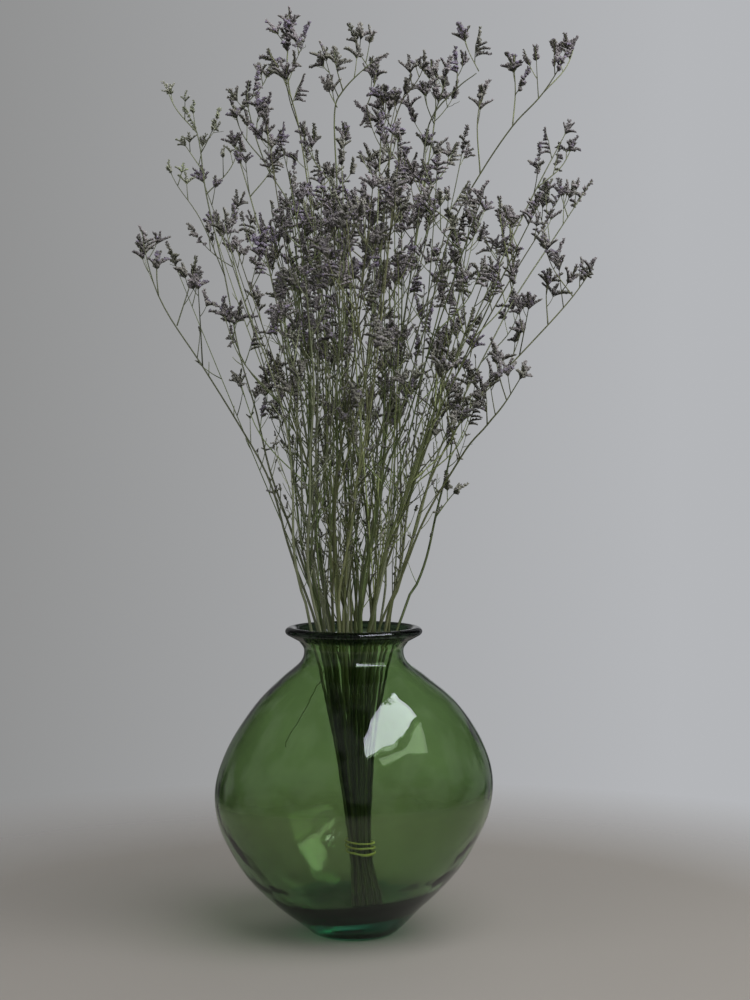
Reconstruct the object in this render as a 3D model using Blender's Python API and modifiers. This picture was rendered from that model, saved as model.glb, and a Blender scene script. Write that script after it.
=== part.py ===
"""A bunch of dried statice standing in a hand-blown glass vase.

Metres, +Z up. The origin is the middle of the underside of the vase's foot, and the bunch is seen
from the front when looking along +Y. Every cut stem is one object with its own side shoots and
flower heads. The stems stand on the vase's inside floor, are held together by a rubber band, and
lean on the inside of the neck. Touching pieces are kept 0.3 mm apart.
"""
import math
import random

import bmesh
import bpy
import numpy as np
from mathutils import Vector

GAP = 0.0003

# vase: outer side from under the rim down to the edge of the foot, as (radius, height)
RIM_RADIUS = 0.0532
RIM_HEIGHT = 0.2570
RIM_HALF_WIDTH = 0.0052
RIM_HALF_DEPTH = 0.0038
RIM_FIRST_ANGLE = math.radians(215)
RIM_SWEEP = math.radians(270)
RIM_STEPS = 6
OUTER_SIDE = [
    (0.0470, 0.2490), (0.0424, 0.2415), (0.0455, 0.2310), (0.0609, 0.2183), (0.0833, 0.1977),
    (0.1030, 0.1705), (0.1149, 0.1440), (0.1184, 0.1220), (0.1150, 0.0990), (0.1067, 0.0790),
    (0.0932, 0.0560), (0.0748, 0.0355), (0.0520, 0.0150), (0.0378, 0.0022),
]
FOOT_RADIUS = 0.0345
FLOOR_HEIGHT = 0.0240
FLOOR_RADIUS = 0.0300
FLOOR_CORNER = [(0.0480, 0.0262), (0.0650, 0.0345)]
WALL_NECK = 0.0032
WALL_BASE = 0.0055
WALL_THINS = (0.030, 0.120)
WALL_START = 0.0550
SLANT = 0.045
SLANT_LOW = (0.003, 0.022)
SLANT_HIGH = (0.180, 0.235)
VASE_STEPS = 40
SPAN_STEPS = 2

# bunch: how the stems are packed in the tie, and how they spread above and below it
SEED = 12
STEM_COUNT = 40
LANE_PITCH = 0.0029
TIE_LOW = 0.060
TIE_TOP = 0.080
MOUTH = 0.262
FOOT_SPLAY = 1.0
NECK_SPREAD = (6.20, 60.0)
CROWN_BEND = 36.0
TWIST = math.radians(38)
TWIST_TOP = 0.45
CENTRE_LINE = [
    (0.000, 0.0150), (0.024, 0.0115), (0.060, 0.0070), (0.080, 0.0052), (0.150, 0.0008),
    (0.245, -0.0021), (0.370, -0.0010), (0.540, 0.0160), (0.800, 0.0340),
]
CUT_END = FLOOR_HEIGHT + 0.0005
LOW_LEVELS = (TIE_LOW, TIE_TOP, 0.150, 0.210, MOUTH)
NODE_SPACING = 0.062
TOP_HEIGHT = 0.715
TOP_JITTER = (-0.07, 0.02)
SHOULDER_DROP = 0.135
CROWN_DRIFT = 0.024
STALK_TRIES = 60

# a stem's own shape, and the room it is given
STALK_RADIUS = (0.00100, 0.00128)
STALK_TOP_RADIUS = 0.00072
ARM_RADIUS = 0.00060
TIP_RADIUS = 0.00055
ARM_TILT = 0.4
ARM_LENGTH = (0.045, 0.120)
ARM_LEAN = (0.75, 1.15)
ARM_STRAIGHTENS = 0.55
FIRST_ARM = 0.360
MOST_ARMS = 4
ARM_TRIES = 12
FLOWER_RADIUS = 0.0026
FLOWER_LENGTH = 0.024
CLEARANCE = 0.0015
SAMPLE = 0.003
FLOWER_SAMPLES = 8
NEARBY = 0.012
SHARED = -1

# rubber band
BAND_RADIUS = 0.0006
BAND_TURNS = 3
BAND_LOW = 0.0635
BAND_TOP = 0.0765
BAND_START = math.radians(150)
BAND_CROSSING = math.radians(80)
BAND_LIFT = 0.0030
BAND_STEPS = 18
CROSSING_STEPS = 7

# the stems that stand out of the crown: points up to the tip, and arms as (height they leave at, points)
LEADERS = [
    # wide one on the left, with its long upright arm
    ([(-0.078, -0.010, 0.403), (-0.127, -0.016, 0.481), (-0.163, -0.020, 0.540), (-0.180, -0.018, 0.602)],
     [(0.481, [(-0.128, -0.030, 0.522), (-0.130, -0.034, 0.562)]),
      (0.515, [(-0.137, -0.008, 0.552), (-0.132, -0.004, 0.574)]),
      (0.540, [(-0.163, -0.034, 0.558), (-0.161, -0.042, 0.578)]),
      (0.222, [(-0.040, -0.016, 0.195), (-0.066, -0.026, 0.148)])]),
    ([(-0.095, 0.020, 0.478), (-0.111, 0.028, 0.560), (-0.127, 0.032, 0.630), (-0.135, 0.034, 0.683),
      (-0.153, 0.034, 0.713)],
     [(0.560, [(-0.130, 0.010, 0.606), (-0.150, 0.000, 0.636), (-0.160, -0.004, 0.660)]),
      (0.650, [(-0.145, 0.044, 0.672), (-0.156, 0.048, 0.687)])]),
    # the tall ones, from left to right
    ([(-0.053, 0.030, 0.614), (-0.077, 0.038, 0.658), (-0.092, 0.042, 0.710), (-0.086, 0.040, 0.735)],
     [(0.640, [(-0.073, 0.022, 0.668), (-0.074, 0.014, 0.696)]),
      (0.683, [(-0.083, 0.052, 0.700), (-0.073, 0.058, 0.712)])]),
    ([(-0.045, -0.030, 0.678), (-0.053, -0.034, 0.710), (-0.054, -0.036, 0.740), (-0.046, -0.034, 0.771)],
     [(0.700, [(-0.060, -0.046, 0.722), (-0.072, -0.052, 0.742)])]),
    ([(0.030, 0.055, 0.662), (0.025, 0.058, 0.690), (0.010, 0.060, 0.707), (-0.003, 0.060, 0.711)], []),
    ([(-0.015, -0.060, 0.684), (-0.008, -0.064, 0.703), (0.012, -0.070, 0.722), (0.030, -0.074, 0.734)],
     [(0.690, [(-0.020, -0.074, 0.704), (-0.018, -0.078, 0.716)])]),
    ([(0.033, -0.004, 0.679), (0.041, -0.006, 0.705), (0.050, -0.008, 0.727)], []),
    ([(0.069, 0.040, 0.691), (0.070, 0.042, 0.716), (0.064, 0.042, 0.740)], []),
    ([(0.063, -0.022, 0.682), (0.086, -0.026, 0.711), (0.104, -0.028, 0.725), (0.112, -0.028, 0.738)],
     [(0.711, [(0.086, -0.034, 0.728), (0.085, -0.038, 0.748)])]),
    # wide ones on the right, from the top down
    ([(0.082, -0.048, 0.596), (0.104, -0.054, 0.637), (0.130, -0.060, 0.675), (0.155, -0.064, 0.702),
      (0.180, -0.068, 0.742)],
     [(0.637, [(0.101, -0.070, 0.679), (0.109, -0.078, 0.714)]),
      (0.675, [(0.133, -0.048, 0.706), (0.131, -0.042, 0.739)])]),
    ([(0.110, 0.032, 0.486), (0.138, 0.040, 0.540), (0.172, 0.046, 0.592), (0.209, 0.050, 0.648)],
     [(0.585, [(0.163, 0.060, 0.612), (0.153, 0.068, 0.636)]),
      (0.612, [(0.178, 0.034, 0.630), (0.176, 0.026, 0.644)])]),
    ([(0.099, -0.016, 0.447), (0.139, -0.020, 0.490), (0.183, -0.024, 0.539), (0.208, -0.026, 0.577)],
     [(0.490, [(0.144, -0.034, 0.520), (0.148, -0.040, 0.545)]),
      (0.516, [(0.162, -0.010, 0.544), (0.166, -0.004, 0.567)])]),
    ([(0.086, -0.040, 0.404), (0.111, -0.050, 0.432), (0.128, -0.056, 0.452), (0.147, -0.060, 0.486)],
     [(0.432, [(0.110, -0.060, 0.450), (0.111, -0.064, 0.468)])]),
    ([(0.057, 0.010, 0.312), (0.069, 0.012, 0.353), (0.080, 0.014, 0.401), (0.093, 0.016, 0.470)],
     [(0.353, [(0.083, 0.006, 0.372), (0.097, 0.002, 0.385)])]),
    # wide ones at the front and the back
    ([(0.010, -0.084, 0.440), (0.004, -0.128, 0.520), (-0.006, -0.172, 0.606)],
     [(0.520, [(-0.016, -0.136, 0.552), (-0.022, -0.134, 0.580)])]),
    ([(-0.020, 0.088, 0.450), (-0.018, 0.130, 0.530), (-0.026, 0.176, 0.632)],
     [(0.530, [(0.002, 0.142, 0.560), (0.010, 0.148, 0.590)])]),
    ([(0.066, 0.070, 0.460), (0.092, 0.104, 0.540), (0.112, 0.136, 0.622)],
     [(0.540, [(0.074, 0.116, 0.572), (0.070, 0.120, 0.600)])]),
    ([(-0.058, -0.064, 0.450), (-0.086, -0.098, 0.530), (-0.104, -0.124, 0.606)],
     [(0.530, [(-0.070, -0.110, 0.560), (-0.066, -0.116, 0.590)])]),
]


# curves shared by the pieces

def smooth_curve(knots, steps):
    """Points on a Catmull-Rom curve through the knots, so many steps to each span."""
    ends = [2 * Vector(knots[0]) - Vector(knots[1]), 2 * Vector(knots[-1]) - Vector(knots[-2])]
    chain = [ends[0], *(Vector(k) for k in knots), ends[1]]
    points = []
    for a, b, c, d in zip(chain, chain[1:], chain[2:], chain[3:]):
        for step in range(steps):
            t = step / steps
            points.append(
                0.5 * (2 * b + (c - a) * t + (2 * a - 5 * b + 4 * c - d) * t * t
                       + (3 * b - a - 3 * c + d) * t ** 3)
            )
    points.append(chain[-2])
    return points


def ease(value, low, high):
    """0 below low, 1 above high, and a smooth step between them."""
    t = min(max((value - low) / (high - low), 0.0), 1.0)
    return t * t * (3 - 2 * t)


def link(obj, collection, material=None):
    collection.objects.link(obj)
    if material is not None:
        obj.data.materials.append(material)
    return obj


def finish_material(name, colour, roughness, transmission=0.0):
    material = bpy.data.materials.new(name)
    material.use_nodes = True
    shader = material.node_tree.nodes["Principled BSDF"]
    shader.inputs["Base Color"].default_value = (*colour, 1.0)
    shader.inputs["Roughness"].default_value = roughness
    shader.inputs["Metallic"].default_value = 0.0
    shader.inputs["Transmission Weight"].default_value = transmission
    material.diffuse_color = (*colour, 1.0)
    return material


# vase

def wall(height):
    """Thickness of the blown wall: thin above, thicker towards the solid base."""
    return WALL_NECK + (WALL_BASE - WALL_NECK) * (1 - ease(height, *WALL_THINS))


def slant_lift(x, height):
    """How far the hand-blown body is raised on its right and lowered on its left."""
    weight = ease(height, *SLANT_LOW) * (1 - ease(height, *SLANT_HIGH))
    return SLANT * x * weight


def vase_profile():
    """The section from the inside floor's middle up the inside, over the rim and down the outside."""
    outer = smooth_curve(OUTER_SIDE, SPAN_STEPS)
    inner = []
    for before, here, after in zip(outer, outer[1:], outer[2:]):
        along = (after - before).normalized()
        inward = Vector((along.y, -along.x))
        point = here + inward * wall(here.y)
        if point.y > WALL_START:
            inner.insert(0, point)
    floor = smooth_curve([(FLOOR_RADIUS, FLOOR_HEIGHT), *FLOOR_CORNER, inner[0]], SPAN_STEPS)
    rim = []
    for step in range(RIM_STEPS + 1):
        turn = RIM_FIRST_ANGLE - RIM_SWEEP * step / RIM_STEPS
        rim.append(Vector((
            RIM_RADIUS + RIM_HALF_WIDTH * math.cos(turn),
            RIM_HEIGHT + RIM_HALF_DEPTH * math.sin(turn),
        )))
    middle = [Vector((0.0, FLOOR_HEIGHT))]
    foot = [Vector((FOOT_RADIUS, 0.0)), Vector((0.0, 0.0))]
    return middle + floor[:-1] + inner + rim + outer + foot


def make_vase(collection, material):
    profile = vase_profile()
    mesh = bpy.data.meshes.new("vase_profile")
    mesh.from_pydata([(p.x, 0.0, p.y) for p in profile], [(i, i + 1) for i in range(len(profile) - 1)], [])
    turned = link(bpy.data.objects.new("vase_profile", mesh), collection)
    screw = turned.modifiers.new("turn", "SCREW")
    screw.angle = 2 * math.pi
    screw.steps = VASE_STEPS
    screw.render_steps = VASE_STEPS
    screw.use_merge_vertices = True
    screw.merge_threshold = 0.00001
    body = evaluated_mesh(turned, "vase")
    bpy.data.objects.remove(turned)
    for vertex in body.vertices:
        vertex.co.z += slant_lift(vertex.co.x, vertex.co.z)
    body.shade_smooth()
    body.set_sharp_from_angle(angle=math.radians(40))
    return link(bpy.data.objects.new("vase", body), collection, material)


def evaluated_mesh(obj, name):
    """The object's mesh with its modifiers or bevel applied and its seams welded."""
    bpy.context.view_layer.update()
    graph = bpy.context.evaluated_depsgraph_get()
    mesh = bpy.data.meshes.new_from_object(obj.evaluated_get(graph))
    mesh.name = name
    work = bmesh.new()
    work.from_mesh(mesh)
    bmesh.ops.remove_doubles(work, verts=work.verts, dist=0.000002)
    work.to_mesh(mesh)
    work.free()
    return mesh


# bunch: where each stem runs

def tie_lanes():
    """Places in the tie, packed like round rods: the points of a triangular grid nearest the middle."""
    reach = range(-8, 9)
    grid = [
        Vector((LANE_PITCH * (i + 0.5 * j), LANE_PITCH * j * math.sqrt(0.75)))
        for i in reach for j in reach
    ]
    grid.sort(key=lambda p: (round(p.length, 7), round(math.atan2(p.y, p.x), 7)))
    return grid[:STEM_COUNT]


def spread(z):
    """How many times wider than in the tie the bunch is at height z."""
    if z < TIE_LOW:
        return 1 + FOOT_SPLAY * ((TIE_LOW - z) / TIE_LOW) ** 2
    linear, square = NECK_SPREAD
    below = max(min(z, MOUTH) - TIE_TOP, 0.0)
    above = max(z - MOUTH, 0.0)
    slope = linear + 2 * square * (MOUTH - TIE_TOP)
    return 1 + linear * below + square * below * below + slope * above + CROWN_BEND * above * above


CENTRE_CURVE = smooth_curve(CENTRE_LINE, 10)


def centre_x(z):
    return float(np.interp(z, [p.x for p in CENTRE_CURVE], [p.y for p in CENTRE_CURVE]))


def lane_point(lane, z):
    """Where a lane of the tie is at height z: the whole bunch spreads, leans and turns together."""
    turn = TWIST * ease(z, TIE_TOP, TWIST_TOP)
    cos, sin = math.cos(turn), math.sin(turn)
    x = lane.x * cos - lane.y * sin
    y = lane.x * sin + lane.y * cos
    return Vector((centre_x(z) + x * spread(z), y * spread(z), z))


def rise(lane, target):
    """Points of a stem from its cut end to the target, drifting off its lane only above the mouth."""
    drift = target - lane_point(lane, target.z)
    cut = lane_point(lane, CUT_END)
    cut.z += slant_lift(cut.x, FLOOR_HEIGHT)
    points = [cut, *(lane_point(lane, z) for z in LOW_LEVELS)]
    count = max(round((target.z - MOUTH) / NODE_SPACING), 1)
    for step in range(1, count + 1):
        part = step / count
        z = MOUTH + (target.z - MOUTH) * part
        points.append(lane_point(lane, z) + drift * part * part)
    return points


def point_at_height(points, z):
    """The point of a stem's upper run at height z."""
    for a, b in zip(points, points[1:]):
        if a.z <= z <= b.z:
            return a.lerp(b, (z - a.z) / (b.z - a.z))
    return points[-1]


def samples(points):
    """Evenly spaced points along a run, for measuring how near two runs come."""
    found = []
    for a, b in zip(points, points[1:]):
        count = max(math.ceil((b - a).length / SAMPLE), 1)
        found.extend(a.lerp(b, step / count) for step in range(count))
    found.append(points[-1])
    return np.array(found)


class Taken:
    """The space that runs already hold, as sample points with radii and the stalk they belong to."""

    def __init__(self):
        self.points = np.empty((0, 3))
        self.radii = np.empty(0)
        self.owners = np.empty(0)

    def add(self, run, radius, owner=SHARED):
        """Hold the space of a run and of the flower head at its end."""
        whole = samples(run)
        head = whole[-FLOWER_SAMPLES:]
        self.points = np.vstack([self.points, whole, head])
        self.radii = np.append(self.radii, np.full(len(whole), radius))
        self.radii = np.append(self.radii, np.full(len(head), FLOWER_RADIUS))
        self.owners = np.append(self.owners, np.full(len(whole) + len(head), owner))

    def gap(self, points, radius, owner):
        """The smallest gap these points would leave to everything but their own stalk."""
        low = points.min(axis=0) - NEARBY
        high = points.max(axis=0) + NEARBY
        near = np.all((self.points > low) & (self.points < high), axis=1) & (self.owners != owner)
        if not near.any():
            return NEARBY
        apart = np.linalg.norm(points[:, None] - self.points[near][None], axis=2)
        return float((apart - self.radii[near] - radius).min())

    def room(self, run, radius, owner):
        """The smallest gap that a run with a flower head would leave."""
        whole = samples(run)
        return min(self.gap(whole, radius, owner), self.gap(whole[-FLOWER_SAMPLES:], FLOWER_RADIUS, owner))


def plan_leaders(rng, lanes):
    """The leaders as (radius, axis, arms), each in the free lane that leads nearest to it."""
    stems = []
    for points, arms in LEADERS:
        targets = [Vector(p) for p in points]
        lane = min(lanes, key=lambda p: (lane_point(p, targets[0].z) - targets[0]).length)
        lanes.remove(lane)
        axis = rise(lane, targets[0]) + targets[1:]
        runs = [[point_at_height(axis, height), *(Vector(p) for p in course)] for height, course in arms]
        stems.append((rng.uniform(*STALK_RADIUS), axis, runs))
    return stems


def plan_stalk(rng, lane, outward, radius, taken, owner):
    """The axis of a stem of the crown's body, tried until it runs clear of the others."""
    best_room, best_axis = -1.0, None
    for _ in range(STALK_TRIES):
        height = TOP_HEIGHT - SHOULDER_DROP * outward ** 2 + rng.uniform(*TOP_JITTER)
        drift = Vector((rng.gauss(0, CROWN_DRIFT), rng.gauss(0, CROWN_DRIFT), 0.0))
        axis = rise(lane, lane_point(lane, height) + drift)
        room = taken.room([p for p in axis if p.z >= MOUTH], radius, owner)
        if room > best_room:
            best_room, best_axis = room, axis
        if room > CLEARANCE:
            break
    return best_axis


def plan_arm(rng, base, turn, length):
    """A side shoot that leaves at an angle and bends upwards."""
    lean = rng.uniform(*ARM_LEAN)
    out = Vector((math.cos(turn) * lean, math.sin(turn) * lean, 1.0)).normalized()
    up = Vector((out.x * ARM_STRAIGHTENS, out.y * ARM_STRAIGHTENS, 1.0)).normalized()
    bend = base + out * length * 0.5
    return [base, bend, bend + up * length * 0.5]


def add_arms(rng, axis, arms, taken, owner):
    """Side shoots at the upper joints of a stem, turning round it, where there is room for them."""
    golden = math.pi * (3 - math.sqrt(5))
    turn = rng.uniform(0, 2 * math.pi)
    top = axis[-1].z
    held = [arm[0] for arm in arms]
    shortest, longest = ARM_LENGTH
    for joint in reversed(axis[:-1]):
        if joint.z < FIRST_ARM or len(arms) >= MOST_ARMS:
            break
        if any((joint - base).length < NEARBY for base in held):
            continue
        for _ in range(ARM_TRIES):
            turn += golden * rng.uniform(0.85, 1.15)
            depth = (top - joint.z) / (top - FIRST_ARM)
            length = (shortest + (longest - shortest) * depth) * rng.uniform(0.8, 1.2)
            arm = plan_arm(rng, joint, turn, length)
            if taken.room(arm, ARM_RADIUS, owner) > CLEARANCE:
                arms.append(arm)
                taken.add(arm, ARM_RADIUS)
                break


def grow_bunch():
    """Every stem as (radius, axis, arms), the leaders first."""
    rng = random.Random(SEED)
    lanes = tie_lanes()
    reach = max(lane.length for lane in lanes)
    taken = Taken()
    stems = plan_leaders(rng, lanes)
    for owner, (radius, axis, arms) in enumerate(stems):
        taken.add(axis, radius, owner)
        for arm in arms:
            taken.add(arm, ARM_RADIUS)
    for owner, lane in enumerate(lanes, start=len(stems)):
        radius = rng.uniform(*STALK_RADIUS)
        axis = plan_stalk(rng, lane, lane.length / reach, radius, taken, owner)
        taken.add(axis, radius, owner)
        stems.append((radius, axis, []))
    for owner, (radius, axis, arms) in enumerate(stems):
        add_arms(rng, axis, arms, taken, owner)
    return stems


# bunch: making the stems

def tube(name, runs, collection, tilt=0.0):
    """Runs of (point, radius) as closed square-sided tubes in one mesh object."""
    curve = bpy.data.curves.new(name, "CURVE")
    curve.dimensions = "3D"
    curve.bevel_depth = 1.0
    curve.bevel_resolution = 0
    curve.use_fill_caps = True
    for run in runs:
        spline = curve.splines.new("POLY")
        spline.points.add(len(run) - 1)
        for point, (place, radius) in zip(spline.points, run):
            point.co = (*place, 1.0)
            point.radius = radius
            point.tilt = tilt
    wire = link(bpy.data.objects.new(name, curve), collection)
    mesh = evaluated_mesh(wire, name)
    bpy.data.objects.remove(wire)
    bpy.data.curves.remove(curve)
    return link(bpy.data.objects.new(name, mesh), collection)


def flowering_end(points, radius):
    """The last stretch of a run, swollen by its flower head."""
    end, before = points[-1], points[-2]
    head = min(FLOWER_LENGTH, 0.8 * (end - before).length)
    back = (before - end).normalized()
    return [(end + back * head, radius), (end + back * head * 0.5, FLOWER_RADIUS), (end, TIP_RADIUS)]


def make_stem(name, stem, collection, material):
    """One stalk and its arms, joined into a single body."""
    radius, axis, arms = stem
    stalk_run = []
    for point in axis[:-1]:
        thinning = ease(point.z, MOUTH, TOP_HEIGHT)
        stalk_run.append((point, radius + (STALK_TOP_RADIUS - radius) * thinning))
    stalk = tube(name, [stalk_run + flowering_end(axis, STALK_TOP_RADIUS)], collection)
    if arms:
        runs = [[(p, ARM_RADIUS) for p in arm[:-1]] + flowering_end(arm, ARM_RADIUS) for arm in arms]
        shoots = tube(name + "_arms", runs, collection, tilt=ARM_TILT)
        join = stalk.modifiers.new("join_arms", "BOOLEAN")
        join.operation = "UNION"
        join.solver = "EXACT"
        join.object = shoots
        grown = evaluated_mesh(stalk, name)
        stalk.modifiers.clear()
        stalk.data = grown
        bpy.data.objects.remove(shoots)
    stalk.data.materials.clear()
    stalk.data.materials.append(material)
    return stalk


# rubber band

def band_radius(z):
    """Radius at which the band's middle clears the outermost stems."""
    reach = max(lane.length for lane in tie_lanes()) * spread(z)
    return reach + STALK_RADIUS[1] + GAP + BAND_RADIUS


def make_band(collection, material):
    """One closed loop wound three times down the bunch, that crosses back up over its own turns."""
    turns = 2 * math.pi * BAND_TURNS - BAND_CROSSING
    count = BAND_STEPS * BAND_TURNS
    course = []
    for step in range(count + 1):
        part = step / count
        course.append((turns * part, BAND_TOP + (BAND_LOW - BAND_TOP) * part, 0.0))
    for step in range(1, CROSSING_STEPS):
        part = step / CROSSING_STEPS
        z = BAND_LOW + (BAND_TOP - BAND_LOW) * ease(part, 0.0, 1.0)
        course.append((turns + BAND_CROSSING * part, z, math.sin(math.pi * part) * BAND_LIFT))
    curve = bpy.data.curves.new("rubber_band", "CURVE")
    curve.dimensions = "3D"
    curve.bevel_depth = BAND_RADIUS
    curve.bevel_resolution = 1
    spline = curve.splines.new("POLY")
    spline.points.add(len(course) - 1)
    for point, (angle, z, lift) in zip(spline.points, course):
        reach = band_radius(z) + lift
        x = centre_x(z) + reach * math.cos(BAND_START + angle)
        point.co = (x, reach * math.sin(BAND_START + angle), z, 1.0)
    spline.use_cyclic_u = True
    return link(bpy.data.objects.new("rubber_band", curve), collection, material)


def main():
    for obj in list(bpy.data.objects):
        bpy.data.objects.remove(obj)
    collection = bpy.data.collections.new("statice_in_vase")
    bpy.context.scene.collection.children.link(collection)
    glass = finish_material("green_glass", (0.10, 0.28, 0.12), 0.04, transmission=0.9)
    stalk = finish_material("dried_stalk", (0.22, 0.24, 0.13), 0.75)
    rubber = finish_material("yellow_rubber", (0.62, 0.52, 0.12), 0.5)
    make_vase(collection, glass)
    make_band(collection, rubber)
    for number, stem in enumerate(grow_bunch(), start=1):
        make_stem(f"stem_{number:02d}", stem, collection, stalk)


main()
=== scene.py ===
import math
import random
from collections import namedtuple

import bmesh
import bpy
import numpy as np
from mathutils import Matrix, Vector, noise


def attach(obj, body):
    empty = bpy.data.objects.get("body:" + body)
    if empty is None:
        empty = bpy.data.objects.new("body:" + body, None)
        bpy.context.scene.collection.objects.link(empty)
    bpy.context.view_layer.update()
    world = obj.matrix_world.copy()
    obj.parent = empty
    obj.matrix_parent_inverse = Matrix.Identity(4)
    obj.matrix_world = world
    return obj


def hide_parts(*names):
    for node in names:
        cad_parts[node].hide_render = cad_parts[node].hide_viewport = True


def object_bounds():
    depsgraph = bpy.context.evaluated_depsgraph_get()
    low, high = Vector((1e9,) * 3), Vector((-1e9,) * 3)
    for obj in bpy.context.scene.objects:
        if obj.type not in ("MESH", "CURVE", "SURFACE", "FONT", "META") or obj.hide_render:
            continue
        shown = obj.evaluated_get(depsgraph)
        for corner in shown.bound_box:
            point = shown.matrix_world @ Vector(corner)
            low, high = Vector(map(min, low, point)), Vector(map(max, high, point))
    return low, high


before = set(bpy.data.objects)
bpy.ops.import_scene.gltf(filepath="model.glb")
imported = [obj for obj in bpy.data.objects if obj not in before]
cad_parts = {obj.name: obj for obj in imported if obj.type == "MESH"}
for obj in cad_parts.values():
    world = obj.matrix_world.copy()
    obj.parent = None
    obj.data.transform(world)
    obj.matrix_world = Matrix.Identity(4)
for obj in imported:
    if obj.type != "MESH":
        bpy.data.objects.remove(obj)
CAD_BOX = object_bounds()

# lengths are in metres; a pair is a range to draw from, or the start and the end of a change

# camera and studio, with the window panes' outlines as (azimuth, elevation) in degrees
EYE_HEIGHT = 0.430
EYE_DISTANCE = 1.766
EYE_SIDE = 0.018
LOOK_DOWN = math.radians(2.0)
LENS = 75.0
BACKDROP_BLEND = (-0.20, 0.14)
BACKDROP_LEFT = (0.270, 0.271, 0.270)
BACKDROP_RIGHT = (0.458, 0.468, 0.487)
FLOOR_COLOUR = (0.285, 0.268, 0.247)
FLOOR_FADE = (0.38, 0.76)
WINDOW_SKY = [(124, 61), (97, 49), (62, 51), (30, 50), (9, 43), (7, 60), (29, 68), (92, 74)]
WINDOW_GARDEN = [(93, 46), (76, 35), (55, 40), (27, 38), (24, 44), (49, 45), (65, 47)]
WINDOW_DISTANCE = 1.6
WINDOW_AIM = Vector((0.035, -0.060, 0.200))
LAMP_AIM = Vector((0.0, 0.0, 0.380))
AMBIENT = 0.42
STRAIGHT_AHEAD = (0.955, 0.992)
AHEAD = (0.60, 0.90)
BACKDROP_ROUND = (0.420, 0.425, 0.435)
ROOM_LIGHT = (0.04, 0.42)

# glass
GLASS_TINT = (0.55, 0.685, 0.40)
FOOT_TINT = (0.24, 0.66, 0.47)
FOOT_ENDS = (0.0215, 0.0185)
# a ring of painted shade low on the outer side, standing for the shadowed floor that the thick base shows:
# its colour, the heights where it fades in, is full, starts to fade and ends, and its slant
PAINTED_SHADE_RING_TINT = (0.010, 0.014, 0.008)
PAINTED_SHADE_RING = (0.0150, 0.0185, 0.0372, 0.0402)
PAINTED_SHADE_RING_SLOPE = 0.10
RIM_TINT = (0.05, 0.07, 0.04)
RIM_STARTS = (0.2480, 0.2525)
CLEAR_IN_SHADE = (0.62, 0.68, 0.58)
GLASS_DEPTH_COLOUR = (0.05, 0.55, 0.44)
GLASS_DENSITY = 30.0
BLOWN_WAVE = 0.0005
WAVES_START = (0.045, 0.085)
WAVES_END = (0.185, 0.215)

# colours of stalks as (lower, upper, patches) and of florets as (core, body, lip, violet)
STALK_COLOURS = [
    ("olive_stalk", (0.130, 0.164, 0.054), (0.138, 0.138, 0.082), (0.222, 0.250, 0.112)),
    ("green_stalk", (0.082, 0.124, 0.037), (0.108, 0.112, 0.062), (0.168, 0.200, 0.086)),
    ("brown_stalk", (0.092, 0.110, 0.040), (0.098, 0.092, 0.060), (0.160, 0.168, 0.086)),
    ("grey_stalk", (0.150, 0.170, 0.095), (0.165, 0.182, 0.105), (0.240, 0.258, 0.160)),
]
FLORET_COLOURS = [
    ("dusky_florets", (0.050, 0.051, 0.035), (0.130, 0.113, 0.121), (0.348, 0.314, 0.328),
     (0.168, 0.132, 0.245)),
    ("grey_green_florets", (0.105, 0.112, 0.070), (0.210, 0.215, 0.160), (0.420, 0.415, 0.350),
     (0.220, 0.190, 0.300)),
]
STALK_TONES = (0.46, 1.46)
STALK_FADES = (0.40, 0.66)
# painted shade on the stalks inside the vase: how dark it makes them, and the heights over which it fades out
# going up
PAINTED_SHADE_IN_VASE = 0.50
PAINTED_SHADE_IN_VASE_HEIGHTS = (0.190, 0.275)
FLORET_TONES = (0.44, 1.50)
VIOLET_TONE = 0.5
VIOLET_TONES = (0.52, 0.48)
PLAIN_TONES = 0.48
VIOLET_SHARES = (0.12, 0.3, 0.6)
OLIVE_DUST = (0.93, 1.05, 0.74)
OLIVE_HEIGHTS = (0.52, 0.34)

# how finely the plant's shells are made, and how far a rod's end points stand out, in radii
STALK_SIDES = 8
SHOOT_SIDES = 4
SPIKE_SIDES = 3
FLORET_SIDES = 4
RIDGE = 0.16
END_POINTS = (0.3, 0.6)
CURVE_STEPS = 6
CELL_MARGIN = 0.06
FIRST_COLUMN = 0.12
SHOOT_STEPS = 14
THIN_SHOOT_STEPS = 9
TWIG_STEPS = 5
SPIKE_STEPS = 4

# stalks: where they thin and how far they bow
STALK_THINS = (0.24, 0.52)
THIN_TOP_RADIUS = 0.0005904
TAPERED_END = 8
TIP_THINNING = 0.35
SWAY_SHARE = 0.45
MOST_SWAY = 0.0048
SWAY_ENDS = (0.40, 0.52)
SWAY_SPANS = [(0.20, 0.34), (0.09, 0.14)]
SWAY_WEIGHTS = (0.65, 0.35)
NECK_ZONE = (0.185, 0.290)

# side shoots; LEAN_ON draws them up and to the left
SHOOT_START = (0.272, 0.400)
SHOOT_COUNTS = (2, 2, 3)
SHOOT_TOP = (1.30, 1.05)
SHOOT_CEILING = 0.730
SHOOT_RADIUS = (0.00066, 0.00036)
SHOOT_OPENING = (0.15, 0.45)
SHOOT_SPREAD = (-0.02, 0.30)
INWARD_FROM = 0.055
OUTER_TIP = 0.150
LEAN_ON = Vector((-0.20, 0.0, 0.2))

# hair-thin shoots
THIN_SHOOTS = 2
THIN_SHOOT_START = (0.240, 0.340)
THIN_SHOOT_LENGTH = (0.050, 0.150)
THIN_SHOOT_RADIUS = (0.00052, 0.00028)
THIN_SHOOT_OPENING = (0.05, 0.16)
THIN_SHOOT_WANDER = 0.07
THIN_SHOOT_LIFT = 0.03
THIN_SHOOT_SPRAYS = (1, 2, 3)
THIN_SHOOT_SIZE = (0.45, 0.70)

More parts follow.
